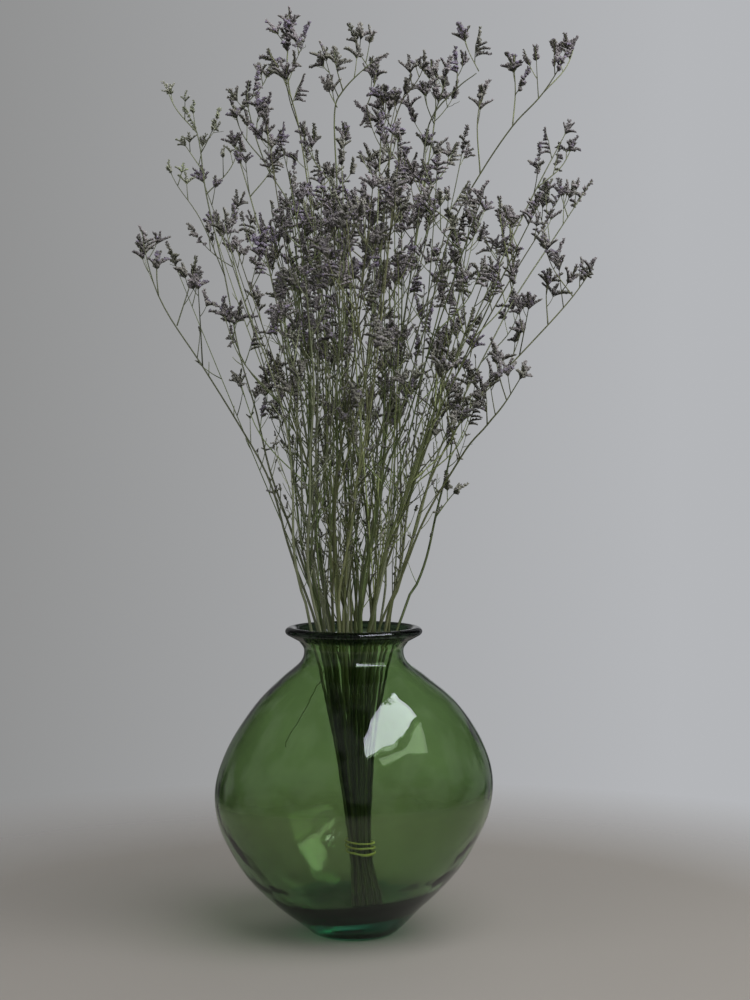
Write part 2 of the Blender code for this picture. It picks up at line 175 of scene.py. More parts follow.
# twigs, which keep to the upper side, and the lengths from which they fork
TWIG_RADIUS = (0.00044, 0.00028)
SHORTEST_TWIG = 0.006
LONGEST_TWIG = 0.046
SMALL_TWIG = 0.014
FORKED_TWIG = 0.024
TWICE_FORKED_TWIG = 0.040
FORK_PLACE = (0.40, 0.75)
FORK_LENGTH = (0.28, 0.42)
UPPER_SIDE = 2.2
TWIG_OPENING = (0.7, 1.4)
TWIG_LIFT = (0.4, 1.2)

# small twigs on the bare part of a stalk, and tendrils
FIRST_TWIG = 0.276
LAST_LOW_TWIG = 0.500
LOW_TWIG_START = 0.03
LOW_TWIG_STEP = (0.014, 0.034)
LOW_TWIG_LENGTH = (0.008, 0.030)
TENDRIL_SHARE = 0.11
TENDRIL_PLACE = 0.6
TENDRIL_JOINTS = (3, 4, 5)
TENDRIL_TURN = (0.4, 0.9)
TENDRIL_STEP = (0.0024, 0.0042)
TENDRIL_RADIUS = (0.00032, 0.00020)

# flowering ends: how far down they reach, the gaps between their twigs, and how fast these lengthen
LEADER_REACH = (0.035, 0.060)
LEADER_STEP = 0.020
STALK_REACH = (0.20, 0.34)
STALK_STEP = 0.0260
SHOOT_REACH = (0.18, 0.34)
SHOOT_STEP = 0.0273
ARM_STEP = 0.014
FLOWERING_SHARE = 0.8
STEP_GROWS = 1.3
STEP_VARIES = (0.75, 1.25)
TURN_VARIES = (0.8, 1.2)
TWIG_RISE = (0.30, 0.55)
LEADER_TWIG_RISE = (0.55, 0.85)

# sprays: numbers of spikes to choose from, as fans or as combs
SPRAY_REACH = 0.018
LEADER_TWIG_SPRAYS = (3, 3, 4, 5)
TWIG_SPRAYS = (4, 4, 5, 6)
SMALL_SPRAYS = (2, 3, 3)
TINY_SPRAYS = (1, 1, 2)
TOP_SPRAYS = (4, 5, 6)
SPRAY_SIZE = (0.80, 1.08)
TINY_SHARE = 0.6
TINY_SIZE = (0.40, 0.60)
FAN_SHARE = 0.4
FAN_OPENING = (0.9, 1.4)
FAN_UNEVENNESS = (-0.12, 0.12)
FAN_SIDEWAYS = (-0.3, 0.3)
FAN_DEPTH = 0.004
COMB_GAP = (0.0025, 0.0040)
COMB_FORWARD = (0.5, 0.9)
COMB_SIDEWAYS = (-0.5, 0.5)
COMB_SIZE = (0.75, 1.0)
SPIKE_LENGTH = (0.0088, 0.0150)
SPIKE_RADIUS = (0.00034, 0.00016)
SPIKE_ARCH = (0.2, 0.85)

# florets: lengths at a spike's two ends, which way they point, and how far they open
FLORET_STEP = 0.00132
FLORET_LENGTH = (0.0046, 0.0038)
FLORET_WIDTH = 0.00106
FLORET_FORWARD = (0.7, 1.2)
FLORET_LIFT = (0.5, 1.35)
FLORET_SIDEWAYS = (0.1, 1.0)
FLORET_GROWTH = (0.70, 1.18)
OPEN_SHARE = 0.6
OPEN = (0.6, 1.0)
SHUT = (0.0, 0.2)
TIP_SHRINKAGE = 0.22
VIOLET_WIDTH = 1.25

# a floret's ring and tip as (when shut, change when open), and how far along its colours they are
RING_PLACE = (0.50, 0.42)
RING_WIDTH = (0.85, 0.45)
TIP_PLACE = (1.12, -0.42)
CUP_ALONG = (0.85, 0.55)
BUD_ALONG = (0.55, 1.0)

# a spike's ranks as (at its foot, change to its tip), and what fullness changes as (without, change)
RANK_PLACE = (0.02, 0.98)
RANK_SPREAD = (0.90, -0.40)
SPIKE_GROWTH = (0.5, 0.5)
SPIKE_PACKING = (0.55, 0.45)
SPIKE_FLORET_SIZE = (0.62, 0.38)

# how full the stems are, and the room they are given
LEADER_FULLNESS = (0.98, 1.12)
BODY_FULLNESS = (0.70, 0.85)
SPARSE_FULLNESS = 0.35
SPARSE_STEMS = (1,)
BARE_STEMS = (8,)
DRESSING_SEED = 7581
GROWING_ROOM = 0.009
GROWING_TRIES = 24

# vase: outer side from under the rim down to the edge of the foot, as (radius, height)
RIM_RADIUS = 0.0532
RIM_HEIGHT = 0.2570
RIM_HALF_WIDTH = 0.0052
RIM_HALF_DEPTH = 0.0038
RIM_FIRST_ANGLE = math.radians(215)
RIM_SWEEP = math.radians(270)
RIM_STEPS = 16
OUTER_SIDE = [
    (0.0470, 0.2490), (0.0424, 0.2415), (0.0455, 0.2310), (0.0609, 0.2183), (0.0833, 0.1977),
    (0.1030, 0.1705), (0.1149, 0.1440), (0.1184, 0.1220), (0.1150, 0.0990), (0.1067, 0.0790),
    (0.0932, 0.0560), (0.0748, 0.0355), (0.0520, 0.0150), (0.0378, 0.0022),
]
FOOT_RADIUS = 0.0345
FLOOR_HEIGHT = 0.0240
FLOOR_RADIUS = 0.0300
FLOOR_CORNER = [(0.0480, 0.0262), (0.0650, 0.0345)]
WALL_NECK = 0.0032
WALL_BASE = 0.0055
WALL_THINS = (0.030, 0.120)
WALL_START = 0.0550
SLANT = 0.045
SLANT_LOW = (0.003, 0.022)
SLANT_HIGH = (0.180, 0.235)
VASE_STEPS = 160
SPAN_STEPS = 6

# bunch: how the stems are packed in the tie, and how they spread above and below it
SEED = 12
STEM_COUNT = 40
LANE_PITCH = 0.0029
TIE_LOW = 0.060
TIE_TOP = 0.080
MOUTH = 0.262
FOOT_SPLAY = 1.0
NECK_SPREAD = (6.20, 60.0)
CROWN_BEND = 36.0
TWIST = math.radians(38)
TWIST_TOP = 0.45
CENTRE_LINE = [
    (0.000, 0.0150), (0.024, 0.0115), (0.060, 0.0070), (0.080, 0.0052), (0.150, 0.0008),
    (0.245, -0.0021), (0.370, -0.0010), (0.540, 0.0160), (0.800, 0.0340),
]
CUT_END = FLOOR_HEIGHT + 0.0005
LOW_LEVELS = (TIE_LOW, TIE_TOP, 0.150, 0.210, MOUTH)
NODE_SPACING = 0.062
TOP_HEIGHT = 0.715
TOP_JITTER = (-0.07, 0.02)
SHOULDER_DROP = 0.135
CROWN_DRIFT = 0.024
STALK_TRIES = 60

# a stem's own shape, and the room it is given
STALK_RADIUS = (0.00100, 0.00128)
ARM_RADIUS = 0.00060
ARM_LENGTH = (0.045, 0.120)
ARM_LEAN = (0.75, 1.15)
ARM_STRAIGHTENS = 0.55
FIRST_ARM = 0.360
MOST_ARMS = 4
GOLDEN_TURN = math.pi * (3 - math.sqrt(5))
ARM_TRIES = 12
FLOWER_RADIUS = 0.0026
CLEARANCE = 0.0015
SAMPLE = 0.003
FLOWER_SAMPLES = 8
NEARBY = 0.012
SHARED = -1

# rubber band
GAP = 0.0003
BAND_RADIUS = 0.0006
BAND_TURNS = 3
BAND_LOW = 0.0635
BAND_TOP = 0.0765
BAND_START = math.radians(150)
BAND_CROSSING = math.radians(80)
BAND_LIFT = 0.0030
BAND_STEPS = 72
CROSSING_STEPS = 28
BAND_SIDES = 12
BAND_WIDE = 0.0015
BAND_THICK = 0.0010

# the stems that stand out of the crown: points up to the tip, and arms as (height they leave at, points)
LEADERS = [
    # wide one on the left, with its long upright arm
    ([(-0.078, -0.010, 0.403), (-0.127, -0.016, 0.481), (-0.163, -0.020, 0.540), (-0.180, -0.018, 0.602)],
     [(0.481, [(-0.128, -0.030, 0.522), (-0.130, -0.034, 0.562)]),
      (0.515, [(-0.137, -0.008, 0.552), (-0.132, -0.004, 0.574)]),
      (0.540, [(-0.163, -0.034, 0.558), (-0.161, -0.042, 0.578)]),
      (0.222, [(-0.040, -0.016, 0.195), (-0.066, -0.026, 0.148)])]),
    ([(-0.095, 0.020, 0.478), (-0.111, 0.028, 0.560), (-0.127, 0.032, 0.630), (-0.135, 0.034, 0.683),
      (-0.153, 0.034, 0.713)],
     [(0.560, [(-0.130, 0.010, 0.606), (-0.150, 0.000, 0.636), (-0.160, -0.004, 0.660)]),
      (0.650, [(-0.145, 0.044, 0.672), (-0.156, 0.048, 0.687)])]),
    # the tall ones, from left to right
    ([(-0.053, 0.030, 0.614), (-0.077, 0.038, 0.658), (-0.092, 0.042, 0.710), (-0.086, 0.040, 0.735)],
     [(0.640, [(-0.073, 0.022, 0.668), (-0.074, 0.014, 0.696)]),
      (0.683, [(-0.083, 0.052, 0.700), (-0.073, 0.058, 0.712)])]),
    ([(-0.045, -0.030, 0.678), (-0.053, -0.034, 0.710), (-0.054, -0.036, 0.740), (-0.046, -0.034, 0.771)],
     [(0.700, [(-0.060, -0.046, 0.722), (-0.072, -0.052, 0.742)])]),
    ([(0.030, 0.055, 0.662), (0.025, 0.058, 0.690), (0.010, 0.060, 0.707), (-0.003, 0.060, 0.711)], []),
    ([(-0.015, -0.060, 0.684), (-0.008, -0.064, 0.703), (0.012, -0.070, 0.722), (0.030, -0.074, 0.734)],
     [(0.690, [(-0.020, -0.074, 0.704), (-0.018, -0.078, 0.716)])]),
    ([(0.033, -0.004, 0.679), (0.041, -0.006, 0.705), (0.050, -0.008, 0.727)], []),
    ([(0.069, 0.040, 0.691), (0.070, 0.042, 0.716), (0.064, 0.042, 0.740)], []),
    ([(0.063, -0.022, 0.682), (0.086, -0.026, 0.711), (0.104, -0.028, 0.725), (0.112, -0.028, 0.738)],
     [(0.711, [(0.086, -0.034, 0.728), (0.085, -0.038, 0.748)])]),
    # wide ones on the right, from the top down
    ([(0.082, -0.048, 0.596), (0.104, -0.054, 0.637), (0.130, -0.060, 0.675), (0.155, -0.064, 0.702),
      (0.180, -0.068, 0.742)],
     [(0.637, [(0.101, -0.070, 0.679), (0.109, -0.078, 0.714)]),
      (0.675, [(0.133, -0.048, 0.706), (0.131, -0.042, 0.739)])]),
    ([(0.110, 0.032, 0.486), (0.138, 0.040, 0.540), (0.172, 0.046, 0.592), (0.209, 0.050, 0.648)],
     [(0.585, [(0.163, 0.060, 0.612), (0.153, 0.068, 0.636)]),
      (0.612, [(0.178, 0.034, 0.630), (0.176, 0.026, 0.644)])]),
    ([(0.099, -0.016, 0.447), (0.139, -0.020, 0.490), (0.183, -0.024, 0.539), (0.208, -0.026, 0.577)],
     [(0.490, [(0.144, -0.034, 0.520), (0.148, -0.040, 0.545)]),
      (0.516, [(0.162, -0.010, 0.544), (0.166, -0.004, 0.567)])]),
    ([(0.086, -0.040, 0.404), (0.111, -0.050, 0.432), (0.128, -0.056, 0.452), (0.147, -0.060, 0.486)],
     [(0.432, [(0.110, -0.060, 0.450), (0.111, -0.064, 0.468)])]),
    ([(0.057, 0.010, 0.312), (0.069, 0.012, 0.353), (0.080, 0.014, 0.401), (0.093, 0.016, 0.470)],
     [(0.353, [(0.083, 0.006, 0.372), (0.097, 0.002, 0.385)])]),
    # wide ones at the front and the back
    ([(0.010, -0.084, 0.440), (0.004, -0.128, 0.520), (-0.006, -0.172, 0.606)],
     [(0.520, [(-0.016, -0.136, 0.552), (-0.022, -0.134, 0.580)])]),
    ([(-0.020, 0.088, 0.450), (-0.018, 0.130, 0.530), (-0.026, 0.176, 0.632)],
     [(0.530, [(0.002, 0.142, 0.560), (0.010, 0.148, 0.590)])]),
    ([(0.066, 0.070, 0.460), (0.092, 0.104, 0.540), (0.112, 0.136, 0.622)],
     [(0.540, [(0.074, 0.116, 0.572), (0.070, 0.120, 0.600)])]),
    ([(-0.058, -0.064, 0.450), (-0.086, -0.098, 0.530), (-0.104, -0.124, 0.606)],
     [(0.530, [(-0.070, -0.110, 0.560), (-0.066, -0.116, 0.590)])]),
]


def smooth_curve(knots, steps):
    """Points on a Catmull-Rom curve through the knots, so many steps to each span."""
    ends = [2 * Vector(knots[0]) - Vector(knots[1]), 2 * Vector(knots[-1]) - Vector(knots[-2])]
    chain = [ends[0], *(Vector(k) for k in knots), ends[1]]
    points = []
    for a, b, c, d in zip(chain, chain[1:], chain[2:], chain[3:]):
        for step in range(steps):
            t = step / steps
            points.append(
                0.5 * (2 * b + (c - a) * t + (2 * a - 5 * b + 4 * c - d) * t * t
                       + (3 * b - a - 3 * c + d) * t ** 3)
            )
    points.append(chain[-2])
    return points


def ease(value, low, high):
    """0 below low, 1 above high, and a smooth step between them."""
    t = min(max((value - low) / (high - low), 0.0), 1.0)
    return t * t * (3 - 2 * t)


def wall(height):
    """Thickness of the blown wall: thin above, thicker towards the solid base."""
    return WALL_NECK + (WALL_BASE - WALL_NECK) * (1 - ease(height, *WALL_THINS))


def slant_lift(x, height):
    """How far the hand-blown body is raised on its right and lowered on its left."""
    weight = ease(height, *SLANT_LOW) * (1 - ease(height, *SLANT_HIGH))
    return SLANT * x * weight


def vase_profile():
    """The section from the inside floor's middle up the inside, over the rim and down the outside."""
    outer = smooth_curve(OUTER_SIDE, SPAN_STEPS)
    inner = []
    for before, here, after in zip(outer, outer[1:], outer[2:]):
        along = (after - before).normalized()
        inward = Vector((along.y, -along.x))
        point = here + inward * wall(here.y)
        if point.y > WALL_START:
            inner.insert(0, point)
    floor = smooth_curve([(FLOOR_RADIUS, FLOOR_HEIGHT), *FLOOR_CORNER, inner[0]], SPAN_STEPS)
    rim = []
    for step in range(RIM_STEPS + 1):
        turn = RIM_FIRST_ANGLE - RIM_SWEEP * step / RIM_STEPS
        rim.append(Vector((
            RIM_RADIUS + RIM_HALF_WIDTH * math.cos(turn),
            RIM_HEIGHT + RIM_HALF_DEPTH * math.sin(turn),
        )))
    middle = [Vector((0.0, FLOOR_HEIGHT))]
    foot = [Vector((FOOT_RADIUS, 0.0)), Vector((0.0, 0.0))]
    return middle + floor[:-1] + inner + rim + outer + foot


# bunch: where each stem runs

def tie_lanes():
    """Places in the tie, packed like round rods: the points of a triangular grid nearest the middle."""
    reach = range(-8, 9)
    grid = [
        Vector((LANE_PITCH * (i + 0.5 * j), LANE_PITCH * j * math.sqrt(0.75)))
        for i in reach for j in reach
    ]
    grid.sort(key=lambda p: (round(p.length, 7), round(math.atan2(p.y, p.x), 7)))
    return grid[:STEM_COUNT]


def spread(z):
    """How many times wider than in the tie the bunch is at height z."""
    if z < TIE_LOW:
        return 1 + FOOT_SPLAY * ((TIE_LOW - z) / TIE_LOW) ** 2
    linear, square = NECK_SPREAD
    below = max(min(z, MOUTH) - TIE_TOP, 0.0)
    above = max(z - MOUTH, 0.0)
    slope = linear + 2 * square * (MOUTH - TIE_TOP)
    return 1 + linear * below + square * below * below + slope * above + CROWN_BEND * above * above


CENTRE_CURVE = smooth_curve(CENTRE_LINE, 10)


def centre_x(z):
    return float(np.interp(z, [p.x for p in CENTRE_CURVE], [p.y for p in CENTRE_CURVE]))


def lane_point(lane, z):
    """Where a lane of the tie is at height z: the whole bunch spreads, leans and turns together."""
    turn = TWIST * ease(z, TIE_TOP, TWIST_TOP)
    cos, sin = math.cos(turn), math.sin(turn)
    x = lane.x * cos - lane.y * sin
    y = lane.x * sin + lane.y * cos
    return Vector((centre_x(z) + x * spread(z), y * spread(z), z))


def rise(lane, target):
    """Points of a stem from its cut end to the target, drifting off its lane only above the mouth."""
    drift = target - lane_point(lane, target.z)
    cut = lane_point(lane, CUT_END)
    cut.z += slant_lift(cut.x, FLOOR_HEIGHT)
    points = [cut, *(lane_point(lane, z) for z in LOW_LEVELS)]
    count = max(round((target.z - MOUTH) / NODE_SPACING), 1)
    for step in range(1, count + 1):
        part = step / count
        z = MOUTH + (target.z - MOUTH) * part
        points.append(lane_point(lane, z) + drift * part * part)
    return points


def point_at_height(points, z):
    """The point of a stem's upper run at height z."""
    for a, b in zip(points, points[1:]):
        if a.z <= z <= b.z:
            return a.lerp(b, (z - a.z) / (b.z - a.z))
    return points[-1]


def samples(points):
    """Evenly spaced points along a run, for measuring how near two runs come."""
    found = []
    for a, b in zip(points, points[1:]):
        count = max(math.ceil((b - a).length / SAMPLE), 1)
        found.extend(a.lerp(b, step / count) for step in range(count))
    found.append(points[-1])
    return np.array(found)


class Taken:
    """The space that runs already hold, as sample points with radii and the stalk they belong to."""

    def __init__(self):
        self.points = np.empty((0, 3))
        self.radii = np.empty(0)
        self.owners = np.empty(0)

    def add(self, run, radius, owner=SHARED):
        """Hold the space of a run and of the flower head at its end."""
        whole = samples(run)
        head = whole[-FLOWER_SAMPLES:]
        self.points = np.vstack([self.points, whole, head])
        self.radii = np.append(self.radii, np.full(len(whole), radius))
        self.radii = np.append(self.radii, np.full(len(head), FLOWER_RADIUS))
        self.owners = np.append(self.owners, np.full(len(whole) + len(head), owner))

    def gap(self, points, radius, owner):
        """The smallest gap these points would leave to everything but their own stalk."""
        low = points.min(axis=0) - NEARBY
        high = points.max(axis=0) + NEARBY
        near = np.all((self.points > low) & (self.points < high), axis=1) & (self.owners != owner)
        if not near.any():
            return NEARBY
        apart = np.linalg.norm(points[:, None] - self.points[near][None], axis=2)
        return float((apart - self.radii[near] - radius).min())

    def room(self, run, radius, owner):
        """The smallest gap that a run with a flower head would leave."""
        whole = samples(run)
        return min(self.gap(whole, radius, owner), self.gap(whole[-FLOWER_SAMPLES:], FLOWER_RADIUS, owner))


def plan_leaders(rng, lanes):
    """The leaders as (radius, axis, arms), each in the free lane that leads nearest to it."""
    stems = []
    for points, arms in LEADERS:
        targets = [Vector(p) for p in points]
        lane = min(lanes, key=lambda p: (lane_point(p, targets[0].z) - targets[0]).length)
        lanes.remove(lane)
        axis = rise(lane, targets[0]) + targets[1:]
        runs = [[point_at_height(axis, height), *(Vector(p) for p in course)] for height, course in arms]
        stems.append((rng.uniform(*STALK_RADIUS), axis, runs))
    return stems


def plan_stalk(rng, lane, outward, radius, taken, owner):
    """The axis of a stem of the crown's body, tried until it runs clear of the others."""
    best_room, best_axis = -1.0, None
    for _ in range(STALK_TRIES):
        height = TOP_HEIGHT - SHOULDER_DROP * outward ** 2 + rng.uniform(*TOP_JITTER)
        drift = Vector((rng.gauss(0, CROWN_DRIFT), rng.gauss(0, CROWN_DRIFT), 0.0))
        axis = rise(lane, lane_point(lane, height) + drift)
        room = taken.room([p for p in axis if p.z >= MOUTH], radius, owner)
        if room > best_room:
            best_room, best_axis = room, axis
        if room > CLEARANCE:
            break
    return best_axis


def plan_arm(rng, base, turn, length):
    """A side shoot that leaves at an angle and bends upwards."""
    lean = rng.uniform(*ARM_LEAN)
    out = Vector((math.cos(turn) * lean, math.sin(turn) * lean, 1.0)).normalized()
    up = Vector((out.x * ARM_STRAIGHTENS, out.y * ARM_STRAIGHTENS, 1.0)).normalized()
    bend = base + out * length * 0.5
    return [base, bend, bend + up * length * 0.5]


def add_arms(rng, axis, arms, taken, owner):
    """Side shoots at the upper joints of a stem, turning round it, where there is room for them."""
    turn = rng.uniform(0, 2 * math.pi)
    top = axis[-1].z
    held = [arm[0] for arm in arms]
    shortest, longest = ARM_LENGTH
    for joint in reversed(axis[:-1]):
        if joint.z < FIRST_ARM or len(arms) >= MOST_ARMS:
            break
        if any((joint - base).length < NEARBY for base in held):
            continue
        for _ in range(ARM_TRIES):
            turn += GOLDEN_TURN * rng.uniform(0.85, 1.15)
            depth = (top - joint.z) / (top - FIRST_ARM)
            length = (shortest + (longest - shortest) * depth) * rng.uniform(0.8, 1.2)
            arm = plan_arm(rng, joint, turn, length)
            if taken.room(arm, ARM_RADIUS, owner) > CLEARANCE:
                arms.append(arm)
                taken.add(arm, ARM_RADIUS)
                break


def grow_bunch():
    """Every stem as (radius, axis, arms), the leaders first."""
    rng = random.Random(SEED)
    lanes = tie_lanes()
    reach = max(lane.length for lane in lanes)
    taken = Taken()
    stems = plan_leaders(rng, lanes)
    for owner, (radius, axis, arms) in enumerate(stems):
        taken.add(axis, radius, owner)
        for arm in arms:
            taken.add(arm, ARM_RADIUS)
    for owner, lane in enumerate(lanes, start=len(stems)):
        radius = rng.uniform(*STALK_RADIUS)
        axis = plan_stalk(rng, lane, lane.length / reach, radius, taken, owner)
        taken.add(axis, radius, owner)
        stems.append((radius, axis, []))
    for owner, (radius, axis, arms) in enumerate(stems):
        add_arms(rng, axis, arms, taken, owner)
    return stems


def band_radius(z):
    """Radius at which the band's middle clears the outermost stems."""
    reach = max(lane.length for lane in tie_lanes()) * spread(z)
    return reach + STALK_RADIUS[1] + GAP + BAND_RADIUS


# runs: points along a stalk, shoot or spike

def run_length(points):
    return sum((b - a).length for a, b in zip(points, points[1:]))


def point_and_heading(points, part):
    """The place and direction at a share of a run's length."""
    left = part * run_length(points)
    for a, b in zip(points, points[1:]):
        length = (b - a).length
        if left <= length:
            return a.lerp(b, left / length), (b - a).normalized()
        left -= length
    return points[-1].copy(), (points[-1] - points[-2]).normalized()


def shortened(points, cut):
    """The run without its last stretch."""
    keep = 1 - cut / run_length(points)
    end, _ = point_and_heading(points, keep)
    kept, passed = [points[0]], 0.0
    for a, b in zip(points, points[1:]):
        passed += (b - a).length
        if passed >= keep * run_length(points) - 0.0005:
            break
        kept.append(b)
    return kept + [end]


def bent_run(start, leaving, arriving, length, count):
    """A run that leaves one way and bends evenly until it heads the other way."""
    points = [start]
    for step in range(count):
        share = (step + 0.5) / count
        heading = (leaving * (1 - share) + arriving * share).normalized()
        points.append(points[-1] + heading * (length / count))
    return points


def between(ends, share):
    """The value a share of the way from the first end to the second."""
    return ends[0] + (ends[1] - ends[0]) * share


def line(start_and_change, value):
    """A measure with its value at 0 and its change from there to 1."""
    start, change = start_and_change
    return start + change * value


def tapered(radii, count):
    thick, thin = radii
    return [thick + (thin - thick) * step / (count - 1) for step in range(count)]


# closed shells: stalks, shoots and florets are all tubes of rings with a point at each end

def shell_pattern(rings, sides):
    """Faces of one shell as vertex numbers, with the place of each corner on its unwrapped strip."""
    last = 1 + rings * sides
    rows = rings + 1
    triangles, quads = [], []
    for side in range(sides):
        after = (side + 1) % sides
        left, right, middle = side / sides, (side + 1) / sides, (side + 0.5) / sides
        triangles.append([(0, middle, 0.0), (1 + after, right, 1 / rows), (1 + side, left, 1 / rows)])
        for ring in range(rings - 1):
            here, above = 1 + ring * sides, 1 + (ring + 1) * sides
            low, high = (ring + 1) / rows, (ring + 2) / rows
            quads.append([(here + side, left, low), (here + after, right, low),
                          (above + after, right, high), (above + side, left, high)])
        top = 1 + (rings - 1) * sides
        triangles.append([(top + side, left, rings / rows), (top + after, right, rings / rows),
                          (last, middle, 1.0)])
    return np.array(triangles), np.array(quads).reshape(-1, 4, 3)


def within_margin(place):
    return CELL_MARGIN + (1 - 2 * CELL_MARGIN) * place


Batch = namedtuple("Batch", "vertices rings sides tones along own_column")


class Shells:
    """Collects closed shells for one piece, and unwraps each in a cell of its own."""

    def __init__(self):
        self.batches = []
        self.patterns = {}

    def add(self, vertices, rings, sides, tones, along, own_column=False):
        """Shells of one pattern: vertices (shells, corners, 3), a tone for each and along for each corner."""
        if (rings, sides) not in self.patterns:
            self.patterns[rings, sides] = shell_pattern(rings, sides)
        tones, along = np.asarray(tones), np.asarray(along)
        self.batches.append(Batch(np.asarray(vertices), rings, sides, tones, along, own_column))

    def cells(self):
        """Each batch's cells in the unwrapping: their left and low ends, and their width and height."""
        first_column = FIRST_COLUMN if any(batch.own_column for batch in self.batches) else 0.0
        celled = sum(len(batch.vertices) for batch in self.batches if not batch.own_column)
        across = max(math.ceil(math.sqrt(celled)), 1)
        width, height = (1 - first_column) / across, 1 / across
        used = 0
        for batch in self.batches:
            shells = len(batch.vertices)
            if batch.own_column:
                yield np.zeros(shells), np.zeros(shells), first_column, 1.0
                continue
            numbers = used + np.arange(shells)
            used += shells
            yield first_column + (numbers % across) * width, (numbers // across) * height, width, height

    def mesh(self, name):
        """One mesh with its unwrapping and the tone and along values that the materials read."""
        points, tones, alongs = [], [], []
        corners, places, counts = [], [], []
        offset = 0
        for batch, (left, low, width, height) in zip(self.batches, self.cells()):
            shells, size = batch.vertices.shape[:2]
            first = offset + size * np.arange(shells)
            for pattern in self.patterns[batch.rings, batch.sides]:
                index = pattern[:, :, 0].astype(int)[None] + first[:, None, None]
                u = left[:, None, None] + width * within_margin(pattern[None, :, :, 1])
                v = low[:, None, None] + height * within_margin(pattern[None, :, :, 2])
                corners.append(index.ravel())
                places.append(np.stack([u.ravel(), v.ravel()], axis=1))
                counts.append(np.full(shells * len(pattern), pattern.shape[1]))
            points.append(batch.vertices.reshape(-1, 3))
            tones.append(np.repeat(batch.tones, size))
            alongs.append(np.tile(batch.along, shells))
            offset += shells * size
        return mesh_from_arrays(name, *map(np.concatenate, (points, corners, counts, places, tones, alongs)))


def mesh_from_arrays(name, points, corners, counts, places, tones, alongs):
    """A mesh from its points, face corners with their unwrapped places, and values for each point."""
    mesh = bpy.data.meshes.new(name)
    mesh.vertices.add(len(points))
    mesh.vertices.foreach_set("co", points.astype(np.float32).ravel())
    mesh.loops.add(len(corners))
    mesh.loops.foreach_set("vertex_index", corners.astype(np.int32))
    mesh.polygons.add(len(counts))
    starts = np.concatenate([[0], np.cumsum(counts)[:-1]])
    mesh.polygons.foreach_set("loop_start", starts.astype(np.int32))
    unwrapping = mesh.uv_layers.new(name="OFBake")
    unwrapping.data.foreach_set("uv", places.astype(np.float32).ravel())
    for label, values in (("tone", tones), ("along", alongs)):
        attribute = mesh.attributes.new(label, "FLOAT", "POINT")
        attribute.data.foreach_set("value", values.astype(np.float32))
    mesh.update(calc_edges=True)
    mesh.shade_smooth()
    return mesh


def perpendicular(direction):
    """Any unit vector square to the direction."""
    other = Vector((0.0, 0.0, 1.0)) if abs(direction.z) < 0.9 else Vector((1.0, 0.0, 0.0))
    return direction.cross(other).normalized()


def add_tube(shells, points, radii, sides, tone, ridge=0.0, own_column=False):
    """A round rod along the points, whose rings stay untwisted; ridge sinks every other corner."""
    spots = np.array([tuple(p) for p in points])
    heading = np.gradient(spots, axis=0)
    heading /= np.linalg.norm(heading, axis=1)[:, None]
    side = np.array(perpendicular(Vector(heading[0])))
    turns = 2 * np.pi * np.arange(sides) / sides
    cos, sin = np.cos(turns)[:, None], np.sin(turns)[:, None]
    depth = 1 - ridge * (np.arange(sides) % 2)[:, None]
    rings = [spots[:1] - heading[:1] * radii[0] * END_POINTS[0]]
    for spot, forward, radius in zip(spots, heading, radii):
        side = side - forward * side.dot(forward)
        side /= np.linalg.norm(side)
        up = np.cross(forward, side)
        rings.append(spot + radius * depth * (cos * side + sin * up))
    rings.append(spots[-1:] + heading[-1:] * radii[-1] * END_POINTS[1])
    count = len(spots)
    along = np.concatenate([[0.0], np.repeat(np.linspace(0, 1, count), sides), [1.0]])
    shells.add(np.concatenate(rings)[None], count, sides, [tone], along, own_column)


# flowers

def add_florets(shells, bases, headings, lengths, widths, openness, tones):
    """Florets as one ring between two points: shut ones are pointed, open ones a cup with a sunken middle."""
    headings = headings / np.linalg.norm(headings, axis=1)[:, None]
    helper = np.where(np.abs(headings[:, 2:]) < 0.9, [[0.0, 0.0, 1.0]], [[1.0, 0.0, 0.0]])
    side = np.cross(headings, helper)
    side /= np.linalg.norm(side, axis=1)[:, None]
    up = np.cross(headings, side)
    turns = 2 * np.pi * np.arange(FLORET_SIDES) / FLORET_SIDES
    round_it = np.cos(turns)[None, :, None] * side[:, None] + np.sin(turns)[None, :, None] * up[:, None]
    middle = bases + headings * (lengths * line(RING_PLACE, openness))[:, None]
    ring = middle[:, None] + round_it * (widths * line(RING_WIDTH, openness))[:, None, None]
    tip = bases + headings * (lengths * line(TIP_PLACE, openness))[:, None]
    corners = np.concatenate([bases[:, None], ring, tip[:, None]], axis=1)
    for cup in (False, True):
        chosen = (openness > 0.5) == cup
        ring_along, tip_along = CUP_ALONG if cup else BUD_ALONG
        along = [0.0] + [ring_along] * FLORET_SIDES + [tip_along]
        if chosen.any():
            shells.add(corners[chosen], 1, FLORET_SIDES, tones[chosen], along)


